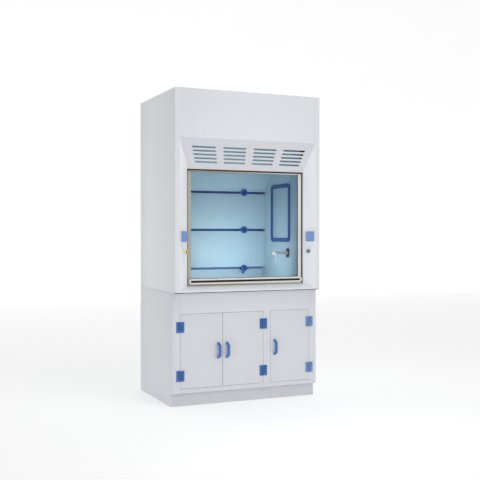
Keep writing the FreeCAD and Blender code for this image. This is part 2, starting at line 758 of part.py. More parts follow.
# ------------------------------------------------------------------------- base cabinet
def make_cabinet():
    toe = base_front + plinth_setback
    inner_front = base_front + sheet
    outline = [(toe, 0), (back, 0), (back, cabinet_top), (inner_front, cabinet_top),
               (inner_front, plinth_height), (toe, plinth_height)]
    save_pair("cabinet_sides", prism_x(outline, side_in, half_w))
    floor = box(-side_in, side_in, inner_front, back - sheet, plinth_height, plinth_height + sheet)
    middle = mullion_middle()
    divider = box(middle - sheet / 2, middle + sheet / 2, inner_front, back - sheet,
                  plinth_height + sheet, cabinet_top)
    save("cabinet_boards", floor, divider)
    kick = box(-side_in, side_in, toe, toe + sheet, 0, plinth_height)
    rear = box(-side_in, side_in, back - 2 * sheet, back - sheet, 0, plinth_height)
    bearer = box(-sheet, sheet, toe + sheet, back - 2 * sheet, 0, plinth_height)
    save("plinth", kick.fuse([rear, bearer]).removeSplitter())


def mullion_middle():
    return (door_edges["middle"][1] + door_edges["right"][0]) / 2


def make_front_frame():
    y0 = base_front
    y1 = base_front + sheet
    inner = half_w - stile_width
    stile = box(inner, half_w, y0, y1, plinth_height, cabinet_top)
    apron = box(-inner, inner, y0, y1, door_top, cabinet_top)
    rail = box(-inner, inner, y0, y1, plinth_height, door_bottom)
    middle = mullion_middle()
    mullion = box(middle - mullion_width / 2, middle + mullion_width / 2, y0, y1, door_bottom, door_top)
    save("front_frame", stile, mirrored(stile), apron, rail, mullion)


def make_doors():
    y0 = base_front
    catches = []
    for name, (x0, x1) in door_edges.items():
        left = x0 + door_gap
        right = x1 - door_gap
        low = door_bottom + door_gap
        high = door_top - door_gap
        door = box(left, right, y0, y0 + door_depth, low, high)
        pan = box(left + door_rim, right - door_rim, y0 + sheet, y0 + door_depth + 1,
                  low + door_rim, high - door_rim)
        save("door_" + name, door.cut(pan))
        free_edge = x1 if hinge_sides[name] < 0 else x0
        inward = -1 if hinge_sides[name] < 0 else 1
        save("handle_" + name, bow_handle(free_edge + inward * bow_from_edge))
        stop = y0 + door_depth + running_gap
        cx = free_edge + inward * (bow_from_edge + catch_width)
        block = box(cx - catch_width / 2, cx + catch_width / 2, y0 + sheet, stop + sheet, door_top,
                    door_top + catch_width / 2)
        ear = box(cx - catch_width / 2, cx + catch_width / 2, stop, stop + sheet,
                  door_top - door_rim, door_top)
        catches.append(block.fuse(ear).removeSplitter())
    save("door_catches", *catches)


def bow_handle(x):
    """A bowed pull with slanting legs, standing on the door face at x."""
    half = bow_length / 2
    out = base_front - bow_height
    inner = half - bow_leg_run
    slant = bow_thick * math.hypot(bow_height, bow_leg_run) / bow_height
    profile = [(base_front, half), (out, inner), (out, -inner), (base_front, -half),
               (base_front, -half + slant), (out + bow_thick, -inner + bow_thick * 0.55),
               (out + bow_thick, inner - bow_thick * 0.55), (base_front, half - slant)]
    bow = prism_x(profile, x - bow_width / 2, x + bow_width / 2)
    return moved(bow, 0, 0, bow_z)


def hinge_parts(x, side, z):
    """Fixed leaf, moving leaf and pin of one hinge; side is where the frame lies."""
    low = z - hinge_height / 2
    third = hinge_height / 3
    y0 = base_front - hinge_leaf_thick
    swing = hinge_barrel_radius + running_gap
    place = V(x, hinge_axis_y, 0)

    def knuckle(z0, z1):
        return rod(hinge_barrel_radius, place + V(0, 0, z0), place + V(0, 0, z1))

    def leaf(direction):
        near = x + direction * hinge_barrel_radius * 0.5
        far = x + direction * hinge_leaf_width
        return box(min(near, far), max(near, far), y0, base_front, low, low + hinge_height)

    def clear(z0, z1):
        return rod(swing, place + V(0, 0, z0), place + V(0, 0, z1))

    gap = hinge_knuckle_gap
    fixed = leaf(side).fuse([knuckle(low, low + third), knuckle(low + 2 * third, low + hinge_height)])
    fixed = fixed.cut(clear(low + third, low + 2 * third))
    swinging = leaf(-side).fuse(knuckle(low + third + gap, low + 2 * third - gap))
    swinging = swinging.cut([clear(low - 1, low + third + gap),
                             clear(low + 2 * third - gap, low + hinge_height + 1)])
    pin = rod(hinge_pin_radius, place + V(0, 0, low), place + V(0, 0, low + hinge_height))
    bore = rod(hinge_pin_radius + pin_clearance, place + V(0, 0, low - 1),
               place + V(0, 0, low + hinge_height + 1))
    return fixed.removeSplitter().cut(pin), swinging.removeSplitter().cut(bore), pin


def hinge_x(name):
    x0, x1 = door_edges[name]
    side = hinge_sides[name]
    return x0 + door_gap / 2 if side < 0 else x1 - door_gap / 2


def make_hinges():
    fixed_leaves = []
    pins = []
    for name in door_edges:
        side = hinge_sides[name]
        swinging_leaves = []
        for z in hinge_levels:
            fixed, swinging, pin = hinge_parts(hinge_x(name), side, z)
            fixed_leaves.append(fixed)
            swinging_leaves.append(swinging)
            pins.append(pin)
        save("door_leaves_" + name, *swinging_leaves)
    save("hinge_leaves", *fixed_leaves)
    save("hinge_pins", *pins)


make_hood_sides()
make_rear_panels()
make_roof()
make_fascia()
make_vent_panel()
make_posts()
make_sill()
make_worktop()
make_cup_sink()
make_liners()
make_service_windows()
make_ceiling()
make_lamp()
make_baffles()
make_slot_strips()
make_levers()
make_exhaust()
make_sash()
make_guides()
make_counterbalance()
make_cables()
make_tap()
make_gas_outlet()
make_valves()
make_pipes()
make_sockets()
make_cabinet()
make_front_frame()
make_doors()
make_hinges()
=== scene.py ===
# %% [markdown]
# # A bench fume hood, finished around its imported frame
# The frame already holds every panel, hinge and slide at its real size. This notebook adds what the
# eye reads as real: softened plastic edges, welded seams, screws, moulded blue fittings, glass and
# the finish of each material. Nothing here moves or resizes the frame, so every place is read from it.

# %% Load the frame
import json
import math
import bmesh
import bpy
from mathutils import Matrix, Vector


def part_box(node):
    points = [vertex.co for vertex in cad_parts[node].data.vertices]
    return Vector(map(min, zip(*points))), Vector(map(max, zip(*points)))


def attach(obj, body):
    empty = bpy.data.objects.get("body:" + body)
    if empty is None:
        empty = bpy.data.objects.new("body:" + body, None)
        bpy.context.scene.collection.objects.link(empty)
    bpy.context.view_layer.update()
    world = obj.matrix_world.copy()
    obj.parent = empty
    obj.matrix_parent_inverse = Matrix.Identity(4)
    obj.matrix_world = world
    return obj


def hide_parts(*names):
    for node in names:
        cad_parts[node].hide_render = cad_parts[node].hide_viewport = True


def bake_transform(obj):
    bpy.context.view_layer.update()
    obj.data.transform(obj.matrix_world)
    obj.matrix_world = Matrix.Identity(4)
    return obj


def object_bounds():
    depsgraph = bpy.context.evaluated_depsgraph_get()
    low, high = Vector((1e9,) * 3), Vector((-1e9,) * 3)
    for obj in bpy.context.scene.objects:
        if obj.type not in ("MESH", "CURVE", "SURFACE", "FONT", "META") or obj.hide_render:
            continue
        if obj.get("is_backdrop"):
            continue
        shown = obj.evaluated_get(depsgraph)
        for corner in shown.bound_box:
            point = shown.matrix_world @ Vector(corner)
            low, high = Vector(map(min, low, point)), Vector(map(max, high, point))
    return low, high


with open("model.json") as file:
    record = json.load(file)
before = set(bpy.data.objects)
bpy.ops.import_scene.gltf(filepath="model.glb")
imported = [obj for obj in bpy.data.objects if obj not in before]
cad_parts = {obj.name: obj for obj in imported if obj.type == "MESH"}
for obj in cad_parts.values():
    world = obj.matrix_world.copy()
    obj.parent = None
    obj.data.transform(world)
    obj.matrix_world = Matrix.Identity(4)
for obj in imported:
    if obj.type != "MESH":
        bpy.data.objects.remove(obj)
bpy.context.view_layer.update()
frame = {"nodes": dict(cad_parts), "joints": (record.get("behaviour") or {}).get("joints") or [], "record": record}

MM = 0.001
joints = {joint["name"]: joint for joint in frame["joints"]}

# %% [markdown]
# ## Camera, light and floor
# The hood is seen from a few steps away and from chest height, a quarter of a right angle to the left of
# its middle, through a lens a little longer than normal.

# %% Camera
CAMERA_PLACE = Vector((-2.609, -6.107, 1.281))
CAMERA_HEADING = math.radians(23.962)
CAMERA_PITCH = math.radians(-0.424)
SENSOR_WIDTH = 36.0
LENS = 61.99

camera = bpy.data.objects.new("camera", bpy.data.cameras.new("camera"))
camera.data.sensor_width = SENSOR_WIDTH
camera.data.lens = LENS
camera.location = CAMERA_PLACE
camera.rotation_euler = (math.radians(90) + CAMERA_PITCH, 0.0, -CAMERA_HEADING)
bpy.context.scene.collection.objects.link(camera)
bpy.context.scene.camera = camera
print("camera", tuple(camera.location), "lens", camera.data.lens)


# %% [markdown]
# A white surround does half of the lighting, as in a studio tent. Three large soft lamps shape it: one
# before the opening, one above and one to the left, for the side and the far post. A small one hangs
# inside, low in front of the baffles, in place of the light that comes in through the thin plastic
# walls. Neither it nor the front lamp shows in a picture or in a reflection.


# %% Lamps and surround
def soft_lamp(name, place, aim, size, power, hidden=False):
    """A round lamp that faces its aim: sizes in metres, power in watts. A hidden one only gives light."""
    lamp = bpy.data.lights.new(name, "AREA")
    lamp.shape = "DISK"
    lamp.size = size
    lamp.energy = power
    holder = bpy.data.objects.new(name, lamp)
    holder.location = place
    holder.rotation_euler = (Vector(aim) - Vector(place)).to_track_quat("-Z", "Y").to_euler()
    holder.visible_camera = not hidden
    holder.visible_glossy = not hidden
    bpy.context.scene.collection.objects.link(holder)


soft_lamp("front_lamp", (0.1, -2.8, 1.5), (0.0, -0.3, 1.35), 1.6, 13, hidden=True)
soft_lamp("top_lamp", (0.8, -2.2, 5.0), (0.0, 0.0, 1.0), 2.5, 34)
soft_lamp("left_lamp", (-4.2, -4.0, 1.8), (0.0, 0.0, 1.2), 2.5, 8)
soft_lamp("chamber_lamp", (0.08, -0.18, 1.06), (0.16, 0.33, 1.12), 0.34, 2.1, hidden=True)
SURROUND_LIGHT = 0.44
surround = bpy.data.worlds.new("surround")
surround.use_nodes = True
surround.node_tree.nodes["Background"].inputs["Color"].default_value = (1.0, 1.0, 1.0, 1.0)
surround.node_tree.nodes["Background"].inputs["Strength"].default_value = SURROUND_LIGHT
bpy.context.scene.world = surround
bpy.context.scene.view_settings.view_transform = "Standard"
print("lamps and surround set")

# %% [markdown]
# ## Writing a material as sums
# A shader is a small calculation: noise in, colour and roughness out. Wiring it node by node hides that
# calculation, so a wire here is a Python value: `0.3 + 0.1 * cloud` adds the nodes that work it out.
# Every other node comes from one method that is told the node's type, settings and inputs.


# %% Wires, graphs and finishes
class Wire:
    """One socket's value. Sums on wires add Math nodes."""

    def __init__(self, graph, socket):
        self.graph = graph
        self.socket = socket

    def maths(self, operation, *values):
        return self.graph.add("ShaderNodeMath", {"operation": operation}, dict(enumerate(values)))

    def __add__(self, other):
        return self.maths("ADD", self, other)

    def __radd__(self, other):
        return self.maths("ADD", other, self)

    def __sub__(self, other):
        return self.maths("SUBTRACT", self, other)

    def __rsub__(self, other):
        return self.maths("SUBTRACT", other, self)

    def __mul__(self, other):
        return self.maths("MULTIPLY", self, other)

    def __rmul__(self, other):
        return self.maths("MULTIPLY", other, self)

    def over(self, low, high):
        """0 below low, 1 above high, smooth between."""
        return self.graph.add("ShaderNodeMapRange", {"interpolation_type": "SMOOTHSTEP"},
                              {"Value": self, "From Min": low, "From Max": high})


class Graph:
    """A node tree being written. One method adds any node."""

    def __init__(self, tree):
        self.tree = tree
        self.tree.nodes.clear()

    def add(self, kind, settings=None, inputs=None, output=0):
        node = self.tree.nodes.new(kind)
        for key, value in (settings or {}).items():
            setattr(node, key, value)
        for key, value in (inputs or {}).items():
            for wire in value if isinstance(value, list) else [value]:
                if isinstance(wire, Wire):
                    self.tree.links.new(wire.socket, node.inputs[key])
                else:
                    node.inputs[key].default_value = wire
        return Wire(self, node.outputs[output]) if len(node.outputs) else None


class Finish(Graph):
    """A material. Patterns are read in Object coordinates, so they sit still on the piece."""

    def __init__(self, name):
        self.material = bpy.data.materials.new(name)
        self.material.use_nodes = True
        super().__init__(self.material.node_tree)
        self.place = self.add("ShaderNodeTexCoord", output="Object")

    def noise(self, scale, detail=2.0, stretch=(1.0, 1.0, 1.0)):
        place = self.add("ShaderNodeMapping", {}, {"Vector": self.place, "Scale": stretch})
        return self.add("ShaderNodeTexNoise", {}, {"Vector": place, "Scale": scale, "Detail": detail})

    def blend(self, factor, first, second):
        return self.add("ShaderNodeMix", {"data_type": "RGBA"}, {0: factor, 6: first, 7: second}, output=2)

    def height(self):
        return self.add("ShaderNodeSeparateXYZ", {}, {"Vector": self.place}, output="Z")

    def across(self):
        return self.add("ShaderNodeSeparateXYZ", {}, {"Vector": self.place}, output="X")

    def bump(self, height, distance, strength=1.0):
        return self.add("ShaderNodeBump", {}, {"Height": height, "Distance": distance, "Strength": strength})

    def surface(self, inputs):
        return self.close(self.add("ShaderNodeBsdfPrincipled", {}, inputs))

    def close(self, shader):
        self.add("ShaderNodeOutputMaterial", {}, {"Surface": shader})
        return self.material


def rgb(red, green, blue):
    """A colour given as it looks on a screen, 0 to 255, as the linear light that a shader wants."""
    def line(value):
        share = value / 255
        return share / 12.92 if share <= 0.04045 else ((share + 0.055) / 1.055) ** 2.4
    return (line(red), line(green), line(blue), 1.0)


def shade(colour, factor):
    return tuple(channel * factor for channel in colour[:3]) + (1.0,)

# %% [markdown]
# ## Floor and backdrop
# A pale floor catches a faint shadow, so that the plinth stands on something, and a backdrop closes the
# view behind. Both glow a little, as white paper does when it is lit for itself, so that they come out
# clean white. They are staging and don't belong to the hood.

# %% Floor and backdrop
def staging(name, corners, glow):
    mesh = bpy.data.meshes.new(name)
    mesh.from_pydata(corners, [], [(0, 1, 2, 3)])
    sheet = bpy.data.objects.new(name, mesh)
    bpy.context.scene.collection.objects.link(sheet)
    finish = Finish(name + "_paper")
    speck = finish.noise(3.0, 2.0)
    white = finish.blend(speck, (0.90, 0.90, 0.90, 1.0), (0.93, 0.93, 0.93, 1.0))
    mesh.materials.append(finish.surface({"Base Color": white, "Roughness": 0.9, "Specular IOR Level": 0.1,
                                          "Emission Color": white, "Emission Strength": glow}))
    sheet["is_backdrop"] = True


FAR = 30.0
BACK = 9.0
TALL = 18.0
FLOOR_GLOW = 0.33
BACKDROP_GLOW = 0.46
staging("floor", [(-FAR, -FAR, 0), (FAR, -FAR, 0), (FAR, BACK, 0), (-FAR, BACK, 0)], FLOOR_GLOW)
staging("backdrop", [(-FAR, BACK, 0), (FAR, BACK, 0), (FAR, BACK, TALL), (-FAR, BACK, TALL)], BACKDROP_GLOW)
print("floor and backdrop set")

# %% [markdown]
# ## The finishes
# The hood is welded from polypropylene sheet. Sheet that comes off a calender is never quite flat or
# quite even: the tone drifts a little over half a metre, the surface carries a fine peel that breaks up
# reflections, and handling leaves faint scuffs, more of them low down where shoes and trolleys pass.
# One function with a few settings makes every sheet finish, so that all panels look related.


# %% Sheet plastic
def sheet_plastic(name, colour, roughness=0.36, wear=1.0, peel=0.00006):
    finish = Finish(name)
    drift = finish.noise(1.7, 2.0)
    streak = finish.noise(9.0, 3.0, (1.0, 1.0, 0.12))
    grain = finish.noise(650.0, 2.0)
    wave = finish.noise(24.0, 2.0)
    scuff = finish.noise(34.0, 7.0, (1.0, 1.0, 0.3)).over(0.63, 0.74)
    low_down = 1 - finish.height().over(0.02, 0.55)
    worn = scuff * (0.25 + 0.75 * low_down) * wear
    tone = finish.blend(drift.over(0.3, 0.7), shade(colour, 0.985), colour)
    tone = finish.blend(streak.over(0.45, 0.75) * 0.35, tone, shade(colour, 0.965))
    tone = finish.blend(worn * 0.22, tone, shade(colour, 0.78))
    rough = roughness + 0.07 * (drift - 0.5) + 0.10 * (grain - 0.5) + 0.16 * worn
    relief = 0.7 * wave + 0.3 * grain - 0.2 * worn
    return finish.surface({"Base Color": tone, "Roughness": rough, "IOR": 1.49,
                           "Normal": finish.bump(relief, peel, 0.6)})


shell_white = sheet_plastic("shell_white", rgb(226, 229, 233))
frame_white = sheet_plastic("frame_white", rgb(239, 242, 246), roughness=0.32)
# painted shade: the vent panel's white is a darker copy of the sheet white, because the panel faces down
vent_shaded_white = sheet_plastic("vent_shaded_white", rgb(213, 215, 220))
cabinet_white = sheet_plastic("cabinet_white", rgb(222, 225, 230), roughness=0.4)
bench_white = sheet_plastic("bench_white", rgb(216, 220, 225), roughness=0.5, wear=1.6)
chamber_blue = sheet_plastic("chamber_blue", rgb(184, 208, 220), roughness=0.25, wear=0.5)
foot_white = sheet_plastic("foot_white", rgb(214, 216, 221), roughness=0.46, wear=1.8)
duct_grey = sheet_plastic("duct_grey", rgb(176, 182, 188), roughness=0.5)
print("sheet finishes made")

# %% [markdown]
# Moulded fittings are small and coloured right through. What shows is a satin skin with a sparkle of
# spark-eroded texture, a slightly paler tone where fingers have polished it, and hairline scratches.
# The flip lids are the same plastic moulded thin enough for light to pass. The hinges' blue is painted
# lighter towards the hood's right end, which is painted light, not a change in the plastic.


# %% Moulded plastic
def moulded_plastic(name, colour, roughness=0.38, texture=0.00003, scatter=0.0, right_light_colour=None):
    finish = Finish(name)
    sparkle = finish.noise(1400.0, 1.0)
    cloud = finish.noise(18.0, 3.0)
    scratch = finish.noise(120.0, 4.0, (1.0, 1.0, 0.05)).over(0.6, 0.68)
    tone = finish.blend(cloud.over(0.35, 0.7), shade(colour, 0.93), colour)
    # painted light: the colour turns lighter towards the hood's right end
    if right_light_colour:
        tone = finish.blend(finish.across().over(0.15, 0.56) * 0.85, tone, right_light_colour)
    scratched = tuple(0.01 + 0.99 * channel for channel in shade(colour, 1.12))
    tone = finish.blend(scratch * 0.5, tone, scratched)
    rough = roughness + 0.12 * (sparkle - 0.5) + 0.08 * (cloud - 0.5) + 0.1 * scratch
    inputs = {"Base Color": tone, "Roughness": rough, "IOR": 1.5,
              "Normal": finish.bump(sparkle, texture, 0.5)}
    if scatter:
        inputs["Subsurface Weight"] = scatter
        inputs["Subsurface Scale"] = 0.004
    return finish.surface(inputs)


fitting_blue = moulded_plastic("fitting_blue", rgb(62, 116, 190), roughness=0.34)
# painted light: the hinges' blue is painted lighter towards the right end
hinge_blue = moulded_plastic("hinge_blue", rgb(58, 112, 184), roughness=0.34, right_light_colour=rgb(122, 158, 208))
strip_blue = moulded_plastic("strip_blue", rgb(28, 74, 150), roughness=0.3)
lever_blue = moulded_plastic("lever_blue", rgb(22, 78, 168), roughness=0.3)
lid_blue = moulded_plastic("lid_blue", rgb(127, 166, 217), roughness=0.28, scatter=0.4)
socket_white = moulded_plastic("socket_white", rgb(232, 234, 236), roughness=0.42)
knob_white = moulded_plastic("knob_white", rgb(238, 238, 234), roughness=0.3)
cap_orange = moulded_plastic("cap_orange", rgb(196, 72, 22), roughness=0.35)
cap_yellow = moulded_plastic("cap_yellow", rgb(226, 186, 60), roughness=0.35)
cap_green = moulded_plastic("cap_green", rgb(46, 116, 84), roughness=0.35)
cap_blue = moulded_plastic("cap_blue", rgb(70, 130, 205), roughness=0.35)
handle_cream = moulded_plastic("handle_cream", rgb(238, 235, 229), roughness=0.3)
guide_grey = moulded_plastic("guide_grey", rgb(84, 78, 70), roughness=0.5)
# brown-black: the brush's own colour and painted shadow under the vent lip
brush_shadow_brown = moulded_plastic("brush_shadow_brown", rgb(40, 31, 25), roughness=0.8, texture=0.0002)
black_plastic = moulded_plastic("black_plastic", rgb(24, 24, 27), roughness=0.45)
# dark rubber, also used for painted shadow: the strips under the hood's overhang and over the plinth
dark_rubber_and_shadow = moulded_plastic("dark_rubber_and_shadow", rgb(44, 43, 45), roughness=0.7, texture=0.00008)
grey_rubber = moulded_plastic("grey_rubber", rgb(112, 117, 120), roughness=0.65, texture=0.00008)
pulley_nylon = moulded_plastic("pulley_nylon", rgb(226, 222, 206), roughness=0.45)
lamp_opal = moulded_plastic("lamp_opal", rgb(240, 244, 248), roughness=0.55, scatter=0.3)
print("moulded finishes made")

# %% [markdown]
# Metals differ in their finishing marks. The sash stiles are anodised and brushed along their length;
# the tap is brass under a thick epoxy coat, which pools into a soft orange peel; screws and cables are
# plain stainless; the counterweights are rough castings under paint, and valves are turned brass. The
# stiles' tone is painted lighter towards the hood's right end, which is painted light, and the strip on
# the sash's top rail is a darker brown copy of their alloy, which is painted shade.


# %% Metals
def brushed_metal(name, colour, roughness, stretch, metallic=1.0, far=None):
    finish = Finish(name)
    hair = finish.noise(260.0, 3.0, stretch)
    cloud = finish.noise(6.0, 3.0)
    tone = finish.blend(hair.over(0.3, 0.7), shade(colour, 0.86), colour)
    tone = finish.blend(cloud.over(0.55, 0.8) * 0.3, tone, shade(colour, 0.8))
    # painted light: the tone turns lighter towards the hood's right end
    if far:
        tone = finish.blend(finish.across().over(-0.3, 0.4) * 0.9, tone, far)
    rough = roughness + 0.16 * (hair - 0.5) + 0.08 * (cloud - 0.5)
    return finish.surface({"Base Color": tone, "Roughness": rough, "Metallic": metallic,
                           "Normal": finish.bump(hair, 0.00002, 0.5)})


def coated_metal(name, colour, roughness, lumps, depth, metallic=0.0):
    finish = Finish(name)
    peel = finish.noise(lumps, 2.0)
    dust = finish.noise(40.0, 5.0).over(0.55, 0.75)
    tone = finish.blend(dust * 0.2, colour, shade(colour, 0.8))
    rough = roughness + 0.1 * (peel - 0.5) + 0.15 * dust
    return finish.surface({"Base Color": tone, "Roughness": rough, "Metallic": metallic,
                           "Coat Weight": 0.25, "Normal": finish.bump(peel, depth, 0.7)})


# painted light: the stiles' alloy is painted lighter towards the right end
sash_alloy = brushed_metal("sash_alloy", rgb(192, 184, 168), 0.55, (1.0, 1.0, 0.03), metallic=0.1,
                           far=rgb(236, 236, 232))
# painted shade: a darker brown copy of the sash alloy, for the top rail under the vent lip
sash_alloy_shaded = brushed_metal("sash_alloy_shaded", rgb(128, 102, 76), 0.5, (0.03, 1.0, 1.0), metallic=0.3)
stainless = brushed_metal("stainless", rgb(190, 192, 196), 0.3, (1.0, 0.2, 1.0))
dark_screw = brushed_metal("dark_screw", rgb(46, 48, 56), 0.4, (1.0, 1.0, 1.0), metallic=0.6)
brass = brushed_metal("brass", rgb(196, 160, 96), 0.32, (1.0, 1.0, 1.0))
tap_grey = coated_metal("tap_grey", rgb(208, 202, 204), 0.32, 90.0, 0.00005)
cast_iron = coated_metal("cast_iron", rgb(92, 96, 100), 0.6, 220.0, 0.0003, metallic=0.3)
lamp_enamel = coated_metal("lamp_enamel", rgb(236, 238, 238), 0.4, 120.0, 0.00003)
print("metal finishes made")

# %% [markdown]
# Glass seen straight on is nearly clear and only shows itself by what it reflects, so the pane mixes a
# clear, faintly blue surface with a mirror one. The share of mirror grows towards grazing angles, as
# the Fresnel law says, and smears left by wiping raise it a little in streaks.


# %% Glass
def sash_pane(name):
    finish = Finish(name)
    smear = finish.noise(7.0, 5.0, (1.0, 1.0, 0.35)).over(0.5, 0.8)
    clear = finish.add("ShaderNodeBsdfTransparent", {}, {"Color": (0.93, 0.97, 0.985, 1.0)})
    mirror = finish.add("ShaderNodeBsdfPrincipled", {}, {
        "Base Color": (0.86, 0.93, 0.97, 1.0), "Roughness": 0.04 + 0.12 * smear, "Metallic": 1.0})
    edge = finish.add("ShaderNodeFresnel", {}, {"IOR": 1.45})
    share = edge * 0.6 + 0.012 * smear
    shader = finish.add("ShaderNodeMixShader", {}, {0: share, 1: clear, 2: mirror})
    return finish.close(shader)


sash_glass = sash_pane("sash_glass")
print("glass made")

# %% [markdown]
# ## Dressing the frame
# Every frame part gets its finish first, also those that a finer piece will stand in for later, so that
# nothing is ever left bare. The table below says which finish each part is made in.

# %% A finish for every frame part
FINISH_OF_PART = {
    shell_white: ("hood_sides", "rear_panels", "roof_panel", "fascia_panel"),
    frame_white: ("posts", "sill"),
    vent_shaded_white: ("vent_panel",),
    cabinet_white: ("cabinet_sides", "cabinet_boards", "front_frame", "door_left", "door_middle",
                    "door_right", "door_catches"),
    foot_white: ("plinth",),
    bench_white: ("worktop", "cup_sink"),
    chamber_blue: ("liners", "ceiling_panels", "baffle_top", "baffle_panels", "service_covers"),
    strip_blue: ("slot_strips", "service_frames"),
    lever_blue: ("baffle_lever_top", "baffle_lever_middle", "baffle_lever_bottom"),
    hinge_blue: ("hinge_leaves", "door_leaves_left", "door_leaves_middle", "door_leaves_right"),
    fitting_blue: ("handle_left", "handle_middle", "handle_right"),
    black_plastic: ("tap_flange",),
    guide_grey: ("sash_guides",),
    tap_grey: ("tap_spout", "gas_outlet"),
    duct_grey: ("exhaust_duct", "exhaust_spigot"),
    stainless: ("pulley_brackets", "cable_wraps", "sash_cables", "weight_cables", "hinge_pins"),
    cast_iron: ("counterweights",),
    pulley_nylon: ("pulley_left", "pulley_right"),
    lamp_enamel: ("lamp_housing",),
    lamp_opal: ("lamp_lens",),
    socket_white: ("socket_bases",),
    lid_blue: ("socket_lid_left", "socket_lid_right"),
    brass: ("valves", "service_pipes"),
    knob_white: ("knob_gas", "knob_water"),
    sash_alloy: ("sash_frame",),
    sash_glass: ("sash_glass",),
    handle_cream: ("sash_handle",),
}
finish_of = {node: finish for finish, nodes in FINISH_OF_PART.items() for node in nodes}
for node, part in frame["nodes"].items():
    part.data.materials.clear()
    part.data.materials.append(finish_of[node])
slot_of = {entry["node"]: entry["material_slot"] for entry in frame["record"]["subparts"]}
body_of = {node: body for body, nodes in frame["record"]["behaviour"]["bodies"].items() for node in nodes}
print(len(finish_of), "parts dressed in", len(FINISH_OF_PART), "finishes")

# %% [markdown]
# ## Making a piece
# A piece is a mesh at the origin that rides on a body, and may stand for frame parts, which are then
# hidden. A piece given a stretch rides on no body: its place is baked in. Faces are smooth except across
# creases.


# %% Piece helpers
pieces = []


def settle(name, mesh, material, body, slot, stands_for=(), stretch=None):
    mesh.materials.clear()
    mesh.materials.append(material)
    piece = bpy.data.objects.new(name, mesh)
    bpy.context.scene.collection.objects.link(piece)
    if stretch:
        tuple(stretch[0])
        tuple(stretch[1])
        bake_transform(piece)
    else:
        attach(piece, body)
    if stands_for:
        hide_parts(*stands_for)
    pieces.append(piece)


def as_mesh(bm, name, crease=32):
    mesh = bpy.data.meshes.new(name)
    bm.to_mesh(mesh)
    bm.free()
    mesh.shade_smooth()
    mesh.set_sharp_from_angle(angle=math.radians(crease))
    return mesh


def round_edges(bm, width, segments=2, angle=32):
    """Rounds every edge sharper than the angle, as a router or a mould would leave it."""
    sharp = [edge for edge in bm.edges if edge.is_manifold and edge.calc_face_angle(0) > math.radians(angle)]
    bmesh.ops.bevel(bm, geom=sharp, offset=width, offset_type="OFFSET", segments=segments, profile=0.5,
                    affect="EDGES", clamp_overlap=True)


# %% [markdown]
# A saw-cut and scraped plastic edge is never knife sharp: it carries a tiny round that catches a line of
# light. A frame part's own mesh is loose triangles, so a copy is welded, its flat triangles are merged
# back into faces, and only then are the true corners rounded. Bevelling the raw triangles would
# round their diagonals too. Solids that only touch are finished one at a time, because welding them to
# each other would leave edges with four faces, which no bevel can round.


# %% Splitting a part into its solids
def closed_shells(mesh):
    """Runs of triangles that close up: every edge met once in each direction."""
    waiting = set()
    shell = []
    for polygon in mesh.polygons:
        corners = [tuple(round(value, 6) for value in mesh.vertices[index].co) for index in polygon.vertices]
        shell.append(corners)
        for start, end in zip(corners, corners[1:] + corners[:1]):
            if (end, start) in waiting:
                waiting.remove((end, start))
            else:
                waiting.add((start, end))
        if not waiting:
            yield shell
            shell = []
    if shell:
        yield shell


def welded(shell):
    bm = bmesh.new()
    made = {}
    for corners in shell:
        for corner in corners:
            if corner not in made:
                made[corner] = bm.verts.new(corner)
        if len(set(corners)) == 3:
            bm.faces.new([made[corner] for corner in corners])
    bmesh.ops.dissolve_limit(bm, angle_limit=math.radians(1.5), verts=bm.verts, edges=bm.edges)
    return bm


# %% [markdown]
# Sheet edges get the smallest round and the thickest mouldings the largest. A larger round takes more
# segments, so that it still looks smooth.

# %% Softened copies of frame parts
def softened(node, width, segments):
    name = node + "_finished"
    whole = bmesh.new()
    shells = 0
    for shell in closed_shells(frame["nodes"][node].data):
        bm = welded(shell)
        round_edges(bm, width, segments)
        part = bpy.data.meshes.new(name)
        bm.to_mesh(part)
        bm.free()
        whole.from_mesh(part)
        bpy.data.meshes.remove(part)
        shells += 1
    settle(name, as_mesh(whole, name), finish_of[node], body_of[node], slot_of[node], (node,))
    return shells


FINE_EDGE = 0.6 * MM
EDGE = 1.2 * MM
MOULDED_EDGE = 1.8 * MM
LID_EDGE = 3.0 * MM
GRIP_EDGE = 4.0 * MM
SOFTENED = {
    EDGE: ("hood_sides", "fascia_panel", "posts", "sill", "worktop", "front_frame", "cabinet_sides",
           "plinth", "rear_panels", "roof_panel", "door_left", "door_middle", "door_right", "baffle_panels",
           "baffle_top", "liners", "ceiling_panels", "exhaust_spigot", "cup_sink"),
    FINE_EDGE: ("hinge_leaves", "door_leaves_left", "door_leaves_middle", "door_leaves_right", "sash_frame",
                "slot_strips", "service_covers", "sash_guides", "door_catches", "lamp_housing",
                "socket_bases", "pulley_brackets", "cabinet_boards"),
    MOULDED_EDGE: ("service_frames", "tap_flange", "counterweights", "knob_gas", "knob_water"),
    LID_EDGE: ("socket_lid_left", "socket_lid_right", "baffle_lever_top", "baffle_lever_middle",
               "baffle_lever_bottom"),
    GRIP_EDGE: ("handle_left", "handle_middle", "handle_right"),
}
for width, nodes in SOFTENED.items():
    for node in nodes:
        print(node, "solids:", softened(node, width, 2 if width <= EDGE else 4))

# %% [markdown]
# ## Geometry Nodes for what repeats
# A vent panel, a screw or a weld bead is a rule and a few sizes, so each is a small node tree with named
# inputs. The tree is built here in code, its inputs are set by their identifiers, and the result is
# taken off the evaluated object as a plain mesh.


